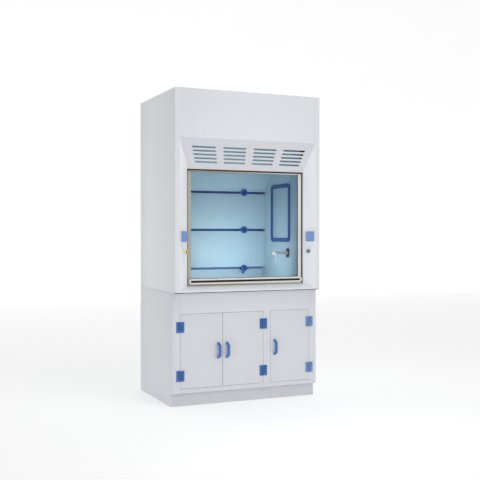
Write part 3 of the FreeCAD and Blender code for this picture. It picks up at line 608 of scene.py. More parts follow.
# %% Geometry tree helper
class Rule(Graph):
    """A Geometry Nodes tree with named number inputs."""

    def __init__(self, name, sizes):
        self.group = bpy.data.node_groups.new(name, "GeometryNodeTree")
        super().__init__(self.group)
        self.group.interface.new_socket("Geometry", in_out="INPUT", socket_type="NodeSocketGeometry")
        self.group.interface.new_socket("Geometry", in_out="OUTPUT", socket_type="NodeSocketGeometry")
        self.sizes = sizes
        self.identifiers = {}
        for key, value in sizes.items():
            kind = "NodeSocketInt" if isinstance(value, int) else "NodeSocketFloat"
            socket = self.group.interface.new_socket(key, in_out="INPUT", socket_type=kind)
            self.identifiers[key] = socket.identifier
        self.way_in = self.tree.nodes.new("NodeGroupInput")

    def size(self, name):
        return Wire(self, self.way_in.outputs[name])

    def start(self):
        return Wire(self, self.way_in.outputs["Geometry"])

    def finish(self, geometry, material):
        """Ends in Realize Instances and Set Material, then hands the shape over."""
        real = self.add("GeometryNodeRealizeInstances", {}, {0: geometry})
        clad = self.add("GeometryNodeSetMaterial", {}, {0: real, "Material": material})
        self.add("NodeGroupOutput", {}, {0: clad})

    def grow(self, mesh, name, crease=32):
        """Runs the tree on a mesh and returns the plain result."""
        holder = bpy.data.objects.new(name, mesh)
        bpy.context.scene.collection.objects.link(holder)
        modifier = holder.modifiers.new(name, "NODES")
        modifier.node_group = self.group
        for key, value in self.sizes.items():
            modifier[self.identifiers[key]] = value
        graph = bpy.context.evaluated_depsgraph_get()
        result = bpy.data.meshes.new_from_object(holder.evaluated_get(graph))
        holder.modifiers.remove(modifier)
        bpy.data.objects.remove(holder)
        result.shade_smooth()
        result.set_sharp_from_angle(angle=math.radians(crease))
        return result


def spots(places, name):
    """A mesh of loose points that carry the direction each thing on them faces."""
    mesh = bpy.data.meshes.new(name)
    mesh.from_pydata([tuple(place) for place, facing in places], [], [])
    facing = mesh.attributes.new("facing", "FLOAT_VECTOR", "POINT")
    for item, (place, direction) in zip(facing.data, places):
        item.vector = Vector(direction).normalized()
    return mesh


# %% [markdown]
# ## The vent panel
# The sloping panel over the sash lets room air into the hood when the sash is down. It has five rows of
# four slots. The slots follow a rule: each is a share of the panel's half width at its own height, so
# the rows narrow downwards with the panel. The cutters are instances on a 5 by 4 field of points, and
# one boolean cuts them all. Cutting twenty slots by hand would hide that rule. INNER_SLOT and OUTER_SLOT
# say where a slot begins and ends, as shares of that half width.

# %% Vent panel sizes
panel_low, panel_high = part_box("vent_panel")
SHEET = 8 * MM
SLOPE_DEPTH = 60 * MM
POST_WIDTH = 80 * MM
lip_top = panel_low.z + 24 * MM
lip_foot = panel_low.z + 10 * MM
fold_y = panel_low.y + SLOPE_DEPTH
opening_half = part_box("sill")[1].x - POST_WIDTH
INNER_SLOT = (0.057, 0.41)
OUTER_SLOT = (0.518, 0.873)
VENT = {
    "Rows": 5, "Columns": 4, "Row pitch": 27 * MM, "First row": panel_high.z - 64 * MM,
    "Slot height": 13 * MM, "Sideways": 9 * MM, "Half width": opening_half, "Lip": lip_top,
    "Flare": (panel_high.x - opening_half) / (panel_high.z - lip_top),
    "Inner middle": sum(INNER_SLOT) / 2, "Outer middle": sum(OUTER_SLOT) / 2,
    "Slot share": 0.354, "Cut from": panel_low.y - 10 * MM, "Cut depth": 110 * MM,
}


def plain_vent_panel():
    """The panel before slotting: the sloping sheet, mitred at its ends, and the lip under it."""
    bm = bmesh.new()
    front = panel_low.y
    inner = Vector((0, (panel_high.z - lip_top), SLOPE_DEPTH)).normalized() * SHEET
    profile = [(front, panel_high.z), (fold_y, lip_top), (fold_y, lip_foot), (fold_y + SHEET, lip_foot),
               (fold_y + inner.y, lip_top + inner.z), (front + inner.y, panel_high.z)]

    def half_at(z):
        return opening_half + max(0.0, VENT["Flare"] * (z - lip_top))

    rings = [[bm.verts.new((side * half_at(z), y, z)) for y, z in profile] for side in (-1, 1)]
    bm.faces.new(rings[0])
    bm.faces.new(list(reversed(rings[1])))
    count = len(profile)
    for index in range(count):
        after = (index + 1) % count
        bm.faces.new([rings[0][index], rings[1][index], rings[1][after], rings[0][after]])
    bmesh.ops.recalc_face_normals(bm, faces=bm.faces)
    round_edges(bm, EDGE, 2, 10)
    return as_mesh(bm, "vent_panel_plain")


print("vent panel from", tuple(panel_low), "to", tuple(panel_high), "lip foot", lip_foot)

# %% [markdown]
# The rule works out a place and a stretch for each of the twenty slots from its number alone: the row
# gives the height, and the column gives the side and whether the slot is an inner or an outer one.


# %% Vent panel rule
def slot_cutter(rule):
    """One slot as a solid with round ends, a metre long times its share, pointing along Y."""
    outline = rule.add("GeometryNodeCurvePrimitiveQuadrilateral", {}, {
        "Width": rule.size("Slot share") * rule.size("Half width"), "Height": rule.size("Slot height")})
    outline = rule.add("GeometryNodeFilletCurve", {"mode": "POLY"}, {
        "Curve": outline, "Count": 6, "Radius": rule.size("Slot height") * 0.49})
    face = rule.add("GeometryNodeFillCurve", {"mode": "NGONS"}, {0: outline})
    block = rule.add("GeometryNodeExtrudeMesh", {"mode": "FACES"}, {
        "Mesh": face, "Offset Scale": rule.size("Cut depth"), "Individual": False})
    back = rule.add("GeometryNodeFlipFaces", {}, {0: face})
    solid = rule.add("GeometryNodeJoinGeometry", {}, {0: [block, back]})
    solid = rule.add("GeometryNodeMergeByDistance", {}, {0: solid, "Distance": 0.00001})
    return rule.add("GeometryNodeTransform", {}, {0: solid, "Rotation": (math.radians(90), 0.0, 0.0)})


def vent_rule():
    rule = Rule("slotted_panel", VENT)
    index = rule.add("GeometryNodeInputIndex")
    rows_before = index * (1 / VENT["Columns"]) + 0.001
    row = rows_before.maths("FLOOR", rows_before)
    column = index - row * rule.size("Columns")
    centred = column - (VENT["Columns"] - 1) / 2
    side = centred.maths("SIGN", centred)
    outer = centred.maths("GREATER_THAN", centred.maths("ABSOLUTE", centred), 1.0)
    height = rule.size("First row") - row * rule.size("Row pitch")
    half = rule.size("Half width") + (height - rule.size("Lip")) * rule.size("Flare")
    middle = rule.size("Inner middle") + outer * (rule.size("Outer middle") - rule.size("Inner middle"))
    across = rule.size("Sideways") + side * middle * half
    place = rule.add("ShaderNodeCombineXYZ", {}, {
        0: across, 1: rule.size("Cut from") + rule.size("Cut depth"), 2: height})
    stretch = rule.add("ShaderNodeCombineXYZ", {}, {
        0: half.maths("DIVIDE", half, rule.size("Half width")), 1: 1.0, 2: 1.0})
    field = rule.add("GeometryNodePoints", {}, {
        "Count": rule.size("Rows") * rule.size("Columns"), "Position": place})
    cutters = rule.add("GeometryNodeInstanceOnPoints", {}, {
        "Points": field, "Instance": slot_cutter(rule), "Scale": stretch})
    cutters = rule.add("GeometryNodeRealizeInstances", {}, {0: cutters})
    slotted = rule.add("GeometryNodeMeshBoolean", {"operation": "DIFFERENCE", "solver": "EXACT"}, {
        0: rule.start(), 1: cutters})
    rule.finish(slotted, vent_shaded_white)
    return rule


vent_mesh = vent_rule().grow(plain_vent_panel(), "slotted_vent_panel")
settle("slotted_vent_panel", vent_mesh, vent_shaded_white, "root", slot_of["vent_panel"], ("vent_panel",))
print("vent panel faces:", len(vent_mesh.polygons))

# %% [markdown]
# ## Screws
# Every screw on the hood is the same few sizes: a domed head with a cross recess. One head is drawn as a
# lathe shape with a cross pressed in, and a rule puts a copy on each point, faces it outwards and turns
# it by a random amount about its own axis, because a fitter never leaves the slots lined up. The seed
# is fixed so that each run gives the same screws.


# %% Screw head
def turned(profile, place=(0, 0, 0), axis=(0, 0, 1), steps=28, bm=None):
    """A lathe shape: (radius, height) pairs spun round the axis through place, closed at both poles."""
    bm = bm or bmesh.new()
    turn = Vector((0, 0, 1)).rotation_difference(Vector(axis).normalized()).to_matrix()
    rings = []
    for radius, height in profile:
        count = 1 if radius < 1e-7 else steps
        rings.append([bm.verts.new(Vector(place) + turn @ Vector((
            radius * math.cos(2 * math.pi * step / steps), radius * math.sin(2 * math.pi * step / steps),
            height))) for step in range(count)])
    for lower, upper in zip(rings, rings[1:]):
        for step in range(steps):
            after = (step + 1) % steps
            ring = [lower[step % len(lower)], lower[after % len(lower)],
                    upper[after % len(upper)], upper[step % len(upper)]]
            corners = list(dict.fromkeys(ring))
            if len(corners) > 2:
                bm.faces.new(corners)
    return bm


def screw_head():
    """A domed head one unit in radius, standing on its origin. The rings round the recess become a cross:
    their points are drawn out along the cross's arms and drawn in between them."""
    ARM, WAIST = 0.5, 0.16
    bm = turned([(0, -0.25), (0.92, -0.25), (1.0, -0.1), (1.0, 0.12), (0.9, 0.36), (0.66, 0.52),
                 (0.36, 0.58), (0.3, 0.58), (0, 0.2)], steps=16)
    arms = [vertex for vertex in bm.verts if 0.29 < vertex.co.xy.length < 0.37]
    for vertex in arms:
        angle = math.atan2(vertex.co.y, vertex.co.x)
        reach = ARM if abs(math.cos(2 * angle)) > 0.9 else WAIST
        vertex.co.xy = vertex.co.xy.normalized() * (reach if vertex.co.xy.length > 0.33 else reach * 0.8)
    return as_mesh(bm, "screw_head", 40)


head_holder = bpy.data.objects.new("screw_head_pattern", screw_head())
print("screw head faces:", len(head_holder.data.polygons))

# %% [markdown]
# Each point carries the direction that its screw faces. The rule copies the head there.


# %% Screws on points
def screw_rule(material, size):
    rule = Rule("screws", {"Head radius": size, "Seed": 7})
    facing = rule.add("GeometryNodeInputNamedAttribute", {"data_type": "FLOAT_VECTOR"}, {"Name": "facing"})
    twist = rule.add("FunctionNodeRandomValue", {"data_type": "FLOAT"}, {
        2: 0.0, 3: math.pi, "Seed": rule.size("Seed")}, output=1)
    spin = rule.add("FunctionNodeAxisAngleToRotation", {}, {"Axis": (0.0, 0.0, 1.0), "Angle": twist})
    aim = rule.add("FunctionNodeAlignRotationToVector", {"axis": "Z"}, {"Vector": facing})
    turn = rule.add("FunctionNodeRotateRotation", {"rotation_space": "LOCAL"}, {0: aim, 1: spin})
    head = rule.add("GeometryNodeObjectInfo", {}, {"Object": head_holder}, output=4)
    screws = rule.add("GeometryNodeInstanceOnPoints", {}, {
        "Points": rule.start(), "Instance": head, "Rotation": turn, "Scale": rule.size("Head radius")})
    rule.finish(screws, material)
    return rule


def screws(name, places, size, material, body="root", slot="steel"):
    mesh = screw_rule(material, size).grow(spots(places, name), name)
    print(name, len(places), "screws,", len(mesh.polygons), "faces")
    settle(name, mesh, material, body, slot)


# %% [markdown]
# Each hinge leaf is held by three dark screws close to the knuckles, where the pull is strongest. The
# two rows are set half a step apart, so that opposite screws don't weaken one knuckle. The fixed leaves
# belong to the cabinet and the moving leaves to their door, so their screws ride on different bodies.

# %% Hinge screws
LEAF_HEIGHT = 79 * MM
LEAF_THICK = 4.2 * MM
SCREW_STEP = 20.5 * MM
SCREW_OUT = 11.2 * MM
FIXED_RISE = 8 * MM
DOOR_DROP = 2.2 * MM
HINGE_SCREW = 4.4 * MM
leaf_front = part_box("front_frame")[0].y - LEAF_THICK
frame_side = []
for name in ("left", "middle", "right"):
    low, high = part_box("door_leaves_" + name)
    axis_x = joints["door_" + name + "_hinge"]["pos_m"][0]
    swing_side = 1 if (low.x + high.x) / 2 > axis_x else -1
    fixed_shift = Vector((-swing_side * SCREW_OUT, 0, FIXED_RISE))
    door_shift = Vector((swing_side * SCREW_OUT, 0, -DOOR_DROP))
    door_side = []
    for middle in (low.z + LEAF_HEIGHT / 2, high.z - LEAF_HEIGHT / 2):
        for step in (-1, 0, 1):
            place = Vector((axis_x, leaf_front, middle + step * SCREW_STEP))
            door_side.append((place + door_shift, (0, -1, 0)))
            frame_side.append((place + fixed_shift, (0, -1, 0)))
    screws("hinge_screws_" + name, door_side, HINGE_SCREW, dark_screw, "door_" + name)
screws("hinge_screws_frame", frame_side, HINGE_SCREW, dark_screw)

# %% [markdown]
# The back of the hood is lift-off sheets, screwed all round with sunk screws, so that the duct and the
# baffle space can be reached and the hood can still stand close to a wall.


# %% Rear panel screws
def along_edges(low, high, inset, spacing):
    """Points round a rectangle's edge in X and Z, evenly spaced."""
    left, right = low.x + inset, high.x - inset
    bottom, top = low.z + inset, high.z - inset
    columns = max(2, round((right - left) / spacing) + 1)
    rows = max(2, round((top - bottom) / spacing) + 1)
    across = [left + (right - left) * i / (columns - 1) for i in range(columns)]
    upwards = [bottom + (top - bottom) * i / (rows - 1) for i in range(1, rows - 1)]
    return [(x, z) for x in across for z in (bottom, top)] + [(x, z) for z in upwards for x in (left, right)]


REAR_HEAD = 9 * MM
REAR_INSET = 16 * MM
REAR_SPACING = 180 * MM
sunk = Vector((0, 0.565 * REAR_HEAD, 0))
rear_screws = []
for shell in closed_shells(frame["nodes"]["rear_panels"].data):
    corners = [Vector(corner) for triangle in shell for corner in triangle]
    low = Vector([min(corner[axis] for corner in corners) for axis in range(3)])
    high = Vector([max(corner[axis] for corner in corners) for axis in range(3)])
    rear_screws += [(Vector((x, high.y, z)) - sunk, (0, 1, 0))
                    for x, z in along_edges(low, high, REAR_INSET, REAR_SPACING)]
screws("rear_panel_screws", rear_screws, REAR_HEAD, dark_screw)

# %% [markdown]
# The exhaust spigot's flange is bolted to the roof in a ring, the tap plate has two screws, and each
# service window frame is held by dark screws at half its height and near its corners.

# %% Bolts, tap screws and window screws
spigot_low, spigot_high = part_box("exhaust_spigot")
duct_middle = (spigot_low + spigot_high) / 2
FLANGE_BOLTS = 12
BOLT_HEAD = 6.0 * MM
ring = (spigot_high.x - duct_middle.x) - 16 * MM
flange_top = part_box("roof_panel")[1].z + 6.3 * MM
flange_bolts = []
for bolt in range(FLANGE_BOLTS):
    angle = math.radians(360 * bolt / FLANGE_BOLTS + 15)
    flange_bolts.append((Vector((duct_middle.x + ring * math.cos(angle),
                                 duct_middle.y + ring * math.sin(angle), flange_top)), (0, 0, 1)))
screws("spigot_bolts", flange_bolts, BOLT_HEAD, stainless)

plate_low, plate_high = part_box("tap_flange")
plate_middle = (plate_low + plate_high) / 2
PLATE_SCREW_OUT = 29 * MM
PLATE_HEAD = 3.2 * MM
plate_screws = [(Vector((plate_low.x - 0.4 * MM, plate_middle.y, plate_middle.z + side * PLATE_SCREW_OUT)),
                 (-1, 0, 0)) for side in (-1, 1)]
screws("tap_plate_screws", plate_screws, PLATE_HEAD, dark_screw)

window_low, window_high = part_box("service_frames")
BAND = 16 * MM
WINDOW_THICK = 6.6 * MM
WINDOW_HEAD = 3.6 * MM
from_end = 2.4 * BAND
middle_z = (window_low.z + window_high.z) / 2
window_screws = []
for side in (-1, 1):
    x = side * (window_high.x - WINDOW_THICK)
    for y in (window_low.y + BAND, window_high.y - BAND):
        for z in (window_low.z + from_end, middle_z, window_high.z - from_end):
            window_screws.append((Vector((x, y, z)), (-side, 0, 0)))
screws("window_screws", window_screws, WINDOW_HEAD, dark_screw)

# %% [markdown]
# ## Weld seams
# Sheets meet at a welded seam: a filler rod is melted into the corner and leaves a thin bead with a
# ripple for each small advance of the welder's hand. A rule sweeps a round profile along each seam line
# and swells it by a sine wave of the distance along the line, which is how a bead really forms. Drawing
# the beads as texture would leave them out of the shape.


# %% Weld rule
def seam_lines(lines, name):
    mesh = bpy.data.meshes.new(name)
    points = [tuple(point) for line in lines for point in line]
    edges = []
    start = 0
    for line in lines:
        edges += [(start + i, start + i + 1) for i in range(len(line) - 1)]
        start += len(line)
    mesh.from_pydata(points, edges, [])
    return mesh


def weld_rule(material, radius):
    rule = Rule("weld_bead", {"Bead radius": radius, "Ripple": 7.584 * MM, "Step": 1.6 * MM, "Swell": 0.16})
    path = rule.add("GeometryNodeMeshToCurve", {}, {0: rule.start()})
    path = rule.add("GeometryNodeResampleCurve", {"mode": "LENGTH"}, {
        "Curve": path, "Length": rule.size("Step")})
    along = rule.add("GeometryNodeSplineParameter", output=1)
    wave = along.maths("DIVIDE", along * (2 * math.pi), rule.size("Ripple"))
    swell = 1 + wave.maths("SINE", wave) * rule.size("Swell")
    path = rule.add("GeometryNodeSetCurveRadius", {}, {"Curve": path, "Radius": swell})
    profile = rule.add("GeometryNodeCurvePrimitiveCircle", {}, {
        "Resolution": 6, "Radius": rule.size("Bead radius")})
    bead = rule.add("GeometryNodeCurveToMesh", {}, {
        "Curve": path, "Profile Curve": profile, "Fill Caps": True, "Scale": swell})
    rule.finish(bead, material)
    return rule


def weld(name, lines, radius, material, slot):
    mesh = weld_rule(material, radius).grow(seam_lines(lines, name), name, 60)
    print(name, "faces", len(mesh.polygons))
    settle(name, mesh, material, "root", slot)


# %% [markdown]
# Outside, the four mitres round the opening are welded. Inside, the side liners are welded to the worktop
# and to the ceiling.

# %% Seams outside and inside
SUNK_IN = 1 * MM
sill_low, sill_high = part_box("sill")
outside = []
for side in (-1, 1):
    for outer_z, inner_z in ((panel_high.z, lip_top), (sill_low.z + 10 * MM, sill_high.z)):
        outside.append([(side * panel_high.x, panel_low.y + SUNK_IN, outer_z),
                        (side * opening_half, fold_y + SUNK_IN, inner_z)])
weld("shell_welds", outside, 1.3 * MM, shell_white, "shell_white")

liner_low, liner_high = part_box("liners")
baffle_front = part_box("baffle_panels")[0].y
bench_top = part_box("worktop")[1].z
wall_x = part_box("service_frames")[1].x
ceiling_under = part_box("ceiling_panels")[0].z
SHORT = 4 * MM
inside = []
for side in (-1, 1):
    for z in (bench_top + SUNK_IN, ceiling_under - SUNK_IN):
        inside.append([(side * wall_x, liner_low.y + SHORT, z), (side * wall_x, liner_high.y - SHORT, z)])
weld("chamber_welds", inside, 2.0 * MM, chamber_blue, "chamber_blue")

# %% [markdown]
# ## The sash grip
# The bar along the foot of the sash is a cream racetrack: a rounded rim runs round it, and the hollow
# inside the rim is dark, where fingers hook under the upper half. It is a section swept round a
# closed loop of two straights and two half circles, with a sunk floor inside. A box with a painted
# stripe would have no hollow to catch the shadow.


# %% Sweeping a section
def swept(path, section, up, closed=False, bm=None):
    """Sweeps (outwards, upwards) section points along a path that lies square to up."""
    bm = bm or bmesh.new()
    up = Vector(up)
    rings = []
    count = len(path)
    for index, place in enumerate(path):
        before = path[index - 1] if closed or index > 0 else place
        after = path[(index + 1) % count] if closed or index < count - 1 else place
        along = (Vector(after) - Vector(before)).normalized()
        side = along.cross(up)
        rings.append([bm.verts.new(Vector(place) + side * out + up * rise) for out, rise in section])
    pairs = list(zip(rings, rings[1:])) + ([(rings[-1], rings[0])] if closed else [])
    size = len(section)
    for first, second in pairs:
        for index in range(size):
            after = (index + 1) % size
            bm.faces.new([first[index], first[after], second[after], second[index]])
    if not closed:
        bm.faces.new(rings[0])
        bm.faces.new(list(reversed(rings[-1])))
    bmesh.ops.recalc_face_normals(bm, faces=bm.faces)
    return bm


def racetrack(half_length, radius, middle, steps=14):
    """Points round a loop of two straights and two half circles, in the XZ plane."""
    points = []
    for side in (1, -1):
        for step in range(steps + 1):
            angle = math.radians(90 - 180 * step / steps)
            points.append(Vector((middle.x + side * (half_length - radius + radius * math.cos(angle)),
                                  middle.y, middle.z + side * radius * math.sin(angle))))
    return points


def rounded_section(width, depth, corner, steps=4):
    """A rectangle with round corners, as section points centred on zero."""
    points = []
    for turn in range(4):
        for step in range(steps + 1):
            angle = math.radians(90 * turn + 90 * step / steps)
            sign_x = 1 if turn in (0, 3) else -1
            sign_y = 1 if turn in (0, 1) else -1
            points.append((sign_x * (width / 2 - corner) + corner * math.cos(angle),
                           sign_y * (depth / 2 - corner) + corner * math.sin(angle)))
    return points


# %% [markdown]
# The rim's path runs half a rim's width inside the frame's handle. The floor of the hollow reaches a little
# under the rim, so that no gap shows between them.

# %% Sash grip
RIM = 12.5 * MM
RIM_ROUND = 5.5 * MM
FLOOR_THICK = 8 * MM
FLOOR_BACK = 1 * MM
grip_low, grip_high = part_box("sash_handle")
grip_middle = (grip_low + grip_high) / 2
grip_half = (grip_high.x - grip_low.x) / 2
grip_radius = (grip_high.z - grip_low.z) / 2
loop = racetrack(grip_half - RIM / 2, grip_radius - RIM / 2, grip_middle)
grip = swept(loop, rounded_section(RIM, grip_high.y - grip_low.y, RIM_ROUND), (0, 1, 0), closed=True)
settle("sash_grip_rim", as_mesh(grip, "sash_grip_rim", 50), handle_cream, "sash", slot_of["sash_handle"],
       ("sash_handle",))
hollow = bmesh.new()
outline = racetrack(grip_half - RIM * 0.6, grip_radius - RIM * 0.6, grip_middle)
back_face = [hollow.verts.new((point.x, grip_high.y - FLOOR_BACK, point.z)) for point in outline]
front_face = [hollow.verts.new((point.x, grip_high.y - FLOOR_THICK, point.z)) for point in outline]
hollow.faces.new(back_face)
hollow.faces.new(list(reversed(front_face)))
for index in range(len(outline)):
    after = (index + 1) % len(outline)
    hollow.faces.new([back_face[index], front_face[index], front_face[after], back_face[after]])
bmesh.ops.recalc_face_normals(hollow, faces=hollow.faces)
settle("sash_grip_hollow", as_mesh(hollow, "sash_grip_hollow"), dark_rubber_and_shadow, "sash", slot_of["sash_handle"],
       ("sash_handle",))
print("grip from", tuple(grip_low), "to", tuple(grip_high))

# %% [markdown]
# ## Gasket, brush, seals and trims
# The pane sits in a grey rubber gasket: four straight sections round its edge.

# %% Pane gasket
BITE = 6 * MM
GASKET = 2.4 * MM
GASKET_DEPTH = 13 * MM
pane_low, pane_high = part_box("sash_glass")
pane_middle = (pane_low + pane_high) / 2
corners = [Vector((x, pane_middle.y, z)) for x, z in (
    (pane_low.x + BITE, pane_low.z + BITE), (pane_high.x - BITE, pane_low.z + BITE),
    (pane_high.x - BITE, pane_high.z - BITE), (pane_low.x + BITE, pane_high.z - BITE))]
gasket = bmesh.new()
for start, end in zip(corners, corners[1:] + corners[:1]):
    swept([start, end], rounded_section(2 * GASKET, GASKET_DEPTH, 1 * MM, 2), (0, 1, 0), bm=gasket)
settle("pane_gasket", as_mesh(gasket, "pane_gasket"), grey_rubber, "sash", "sash_alloy")
print("gasket round", tuple(pane_low), tuple(pane_high))

# %% [markdown]
# Five more sections run straight across the hood. A brush strip under the vent panel's lip wipes the sash
# as it rises; its brown-black is partly the brush and partly painted shadow under the lip. The hood sits
# on its base over a rubber seal, and another seal closes the gap over the plinth; both dark strips are
# also painted shadow, giving the thin dark line of shade under each overhang. A blue strip along the
# lowest slot, over the foot baffle, is painted shadow for the shaded gap under the middle baffle, and a
# brown strip on the sash's top rail is painted shade, a darker copy of the sash alloy under the lip.


# %% Straight strips
def straight_strip(name, left, right, y, z, section, finish, body, slot, up=(0, 1, 0)):
    """A section swept from left to right at one depth and height, as a piece of its own."""
    strip = swept([Vector((left, y, z)), Vector((right, y, z))], section, up)
    settle(name, as_mesh(strip, name), finish, body, slot)
    print(name, "from", left, "to", right, "at", y, z)


SEAL = 5 * MM
END_GAP = 2 * MM
FOOT_RISE = 130 * MM
hood_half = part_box("hood_sides")[1].x - 3 * MM
liner_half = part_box("slot_strips")[1].x
plinth_low, plinth_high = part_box("plinth")
sash_low, sash_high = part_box("sash_frame")
# brush and painted shadow: brown-black strip under the vent lip
straight_strip("brush_strip", END_GAP - opening_half, opening_half - END_GAP, fold_y + 5 * MM,
               lip_foot - 4.5 * MM, rounded_section(9 * MM, 6 * MM, 1 * MM, 2), brush_shadow_brown, "root",
               "tap_black")
# a seal, and painted shadow: dark strip under the front edge of the hood's overhang
straight_strip("hood_seal", -hood_half, hood_half, sill_low.y + 6 * MM, sill_low.z - SEAL / 2,
               rounded_section(SEAL, 10 * MM, 1.2 * MM, 3), dark_rubber_and_shadow, "root", "tap_black")
# a seal, and painted shadow: dark strip for the shade under the cabinet's bottom rail
straight_strip("plinth_seal", plinth_low.x + END_GAP, plinth_high.x - END_GAP, plinth_low.y - 1 * MM,
               plinth_high.z - SEAL / 2, rounded_section(SEAL, 4 * MM, 1 * MM, 3), dark_rubber_and_shadow, "root",
               "tap_black")
# painted shadow: blue strip for the shaded gap under the middle baffle
straight_strip("foot_slot_strip", -liner_half, liner_half, baffle_front + 40 * MM,
               bench_top + FOOT_RISE + 12 * MM, rounded_section(16 * MM, 4 * MM, 1 * MM, 2), fitting_blue,
               "root", slot_of["slot_strips"])
# painted shade: darker brown strip on the sash's top rail, under the vent lip
straight_strip("sash_top_trim", sash_low.x + END_GAP, sash_high.x - END_GAP, sash_low.y - 0.2 * MM,
               sash_high.z - 10 * MM, rounded_section(2.4 * MM, 18.5 * MM, 0.8 * MM, 2), sash_alloy_shaded, "sash",
               "sash_alloy", up=(0, 0, 1))

# %% [markdown]
# ## Knob caps, levers and valve flanges
# Laboratory valves are told apart by a coloured cap in the knob's face: here orange on yellow for gas,
# and blue on green for water. The caps are lathe shapes set on each knob's own turning axis, which comes
# from its joint. Behind each knob is a white moulded flange on the brass valve body.


# %% Knob caps
def cap(name, joint, body, ring_material, dot_material):
    axis = Vector(joints[joint]["axis"]).normalized()
    place = Vector(joints[joint]["pos_m"])
    tip = max((Vector(vertex.co) - place).dot(axis) for vertex in frame["nodes"][body].data.vertices)
    face = place + axis * tip
    ring = turned([(0, -2.0 * MM), (15.0 * MM, -2.0 * MM), (15.0 * MM, 0.2 * MM), (14.4 * MM, 1.0 * MM),
                   (9.4 * MM, 1.9 * MM), (0, 1.9 * MM)], face, axis, 40)
    settle(name + "_ring", as_mesh(ring, name + "_ring", 40), ring_material, body, slot_of[body])
    dot = turned([(0, 0.6 * MM), (9.0 * MM, 0.6 * MM), (9.0 * MM, 2.2 * MM), (7.6 * MM, 2.9 * MM),
                  (4.0 * MM, 3.3 * MM), (0, 3.4 * MM)], face, axis, 32)
    settle(name + "_dot", as_mesh(dot, name + "_dot", 40), dot_material, body, slot_of[body])
    print(name, "on the face at", tuple(round(value, 4) for value in face))


cap("gas_cap", "gas_knob_turn", "knob_gas", cap_yellow, cap_orange)
cap("water_cap", "water_knob_turn", "knob_water", cap_green, cap_blue)

# %% [markdown]
# A valve is one turned brass body, but its flange on the post is moulded over in white. The two
# pieces together stand for the frame's plain valve.

# %% Valves in two materials
KNOB_OUT = 15 * MM
FLANGE = 4 * MM
flanges = bmesh.new()
bodies = bmesh.new()
for joint in ("gas_knob_turn", "water_knob_turn"):
    axis = Vector(joints[joint]["axis"]).normalized()
    face = Vector(joints[joint]["pos_m"]) - axis * KNOB_OUT
    turned([(4.3 * MM, 0), (23 * MM, 0), (23 * MM, 2.6 * MM), (21.8 * MM, FLANGE), (4.3 * MM, FLANGE),
            (4.3 * MM, 0)], face, axis, 48, flanges)
    turned([(0, -75 * MM), (9 * MM, -75 * MM), (14 * MM, -73 * MM), (14 * MM, -48 * MM), (12 * MM, -47 * MM),
            (12 * MM, -34 * MM), (14 * MM, -33 * MM), (14 * MM, -8.2 * MM), (5.8 * MM, -8.2 * MM),
            (5.8 * MM, -0.1 * MM), (0, -0.1 * MM)], face, axis, 40, bodies)
settle("valve_flanges", as_mesh(flanges, "valve_flanges", 40), knob_white, "root", slot_of["valves"],
       ("valves",))
settle("valve_bodies", as_mesh(bodies, "valve_bodies", 40), brass, "root", slot_of["valves"], ("valves",))
print("valve flanges and bodies turned")

# %% [markdown]
# Each baffle lever turns on a dark shoulder screw in a shallow washer.

# %% Lever pivots
for level in ("top", "middle", "bottom"):
    body = "baffle_lever_" + level
    place = Vector(joints[body + "_turn"]["pos_m"])
    place.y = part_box(body)[0].y
    pivot = turned([(0, -3 * MM), (10.5 * MM, -3 * MM), (10.5 * MM, 0.5 * MM), (9.6 * MM, 1.3 * MM),
                    (7 * MM, 1.5 * MM), (6.6 * MM, 4.2 * MM), (5.6 * MM, 5.0 * MM), (0, 5.2 * MM)],
                   place, (0, -1, 0), 32)
    name = "lever_pivot_" + level
    settle(name, as_mesh(pivot, name, 40), dark_screw, body, slot_of[body])
    print("lever pivot at", tuple(round(value, 4) for value in place))

# %% [markdown]
# ## Tap and gas outlet
# The tap's arm is a turned bar with collars at the wall and at the nozzle, and its nozzle is barbed so
# that a hose grips it. Both come off a lathe, so both are lathe shapes, and the sizes follow the
# frame's arm.

# %% Tap
arm_low, arm_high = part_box("tap_spout")
arm_radius = (arm_high.y - arm_low.y) / 2
arm_y = (arm_low.y + arm_high.y) / 2
arm_z = arm_high.z - arm_radius
reach = arm_high.x - arm_low.x
tap = turned([(0, 0), (arm_radius, 0), (arm_radius, 12 * MM), (arm_radius * 0.78, 15 * MM),
              (arm_radius * 0.78, reach - 52 * MM), (arm_radius * 0.92, reach - 49 * MM),
              (arm_radius, reach - 46 * MM), (arm_radius, reach - 6 * MM),
              (arm_radius * 0.86, reach - 2 * MM), (arm_radius * 0.5, reach), (0, reach)],
             (arm_high.x, arm_y, arm_z), (-1, 0, 0), 40)
NOZZLE_IN = 28 * MM
BARB_FROM = 18 * MM
BARBS = 6
nozzle_x = arm_low.x + NOZZLE_IN
nozzle_lean = math.tan(math.radians(4)) * 62 * MM
nozzle_top = Vector((nozzle_x, arm_y, arm_z - arm_radius * 0.8))
nozzle_end = Vector((nozzle_x + nozzle_lean, arm_y, arm_low.z))
nozzle = [(0, 0), (8.5 * MM, 0), (8.5 * MM, 9 * MM), (6.4 * MM, 11 * MM)]
drop = (nozzle_end - nozzle_top).length
step = (drop - BARB_FROM) / BARBS
for barb in range(BARBS):
    foot = BARB_FROM + barb * step
    nozzle += [(4.4 * MM, foot), (5.9 * MM, foot + 0.8 * MM), (4.5 * MM, foot + 0.9 * step)]
nozzle += [(3.8 * MM, drop), (2.4 * MM, drop), (2.4 * MM, drop - 12 * MM), (0, drop - 12 * MM)]
turned(nozzle, nozzle_top, nozzle_end - nozzle_top, 28, tap)
bmesh.ops.recalc_face_normals(tap, faces=tap.faces)
settle("tap_arm", as_mesh(tap, "tap_arm", 38), tap_grey, "root", slot_of["tap_spout"], ("tap_spout",))
print("tap reaches", reach, "and its nozzle drops", drop)

# %% [markdown]
# The gas outlet on the left wall is a straight barbed nozzle on a round flange.

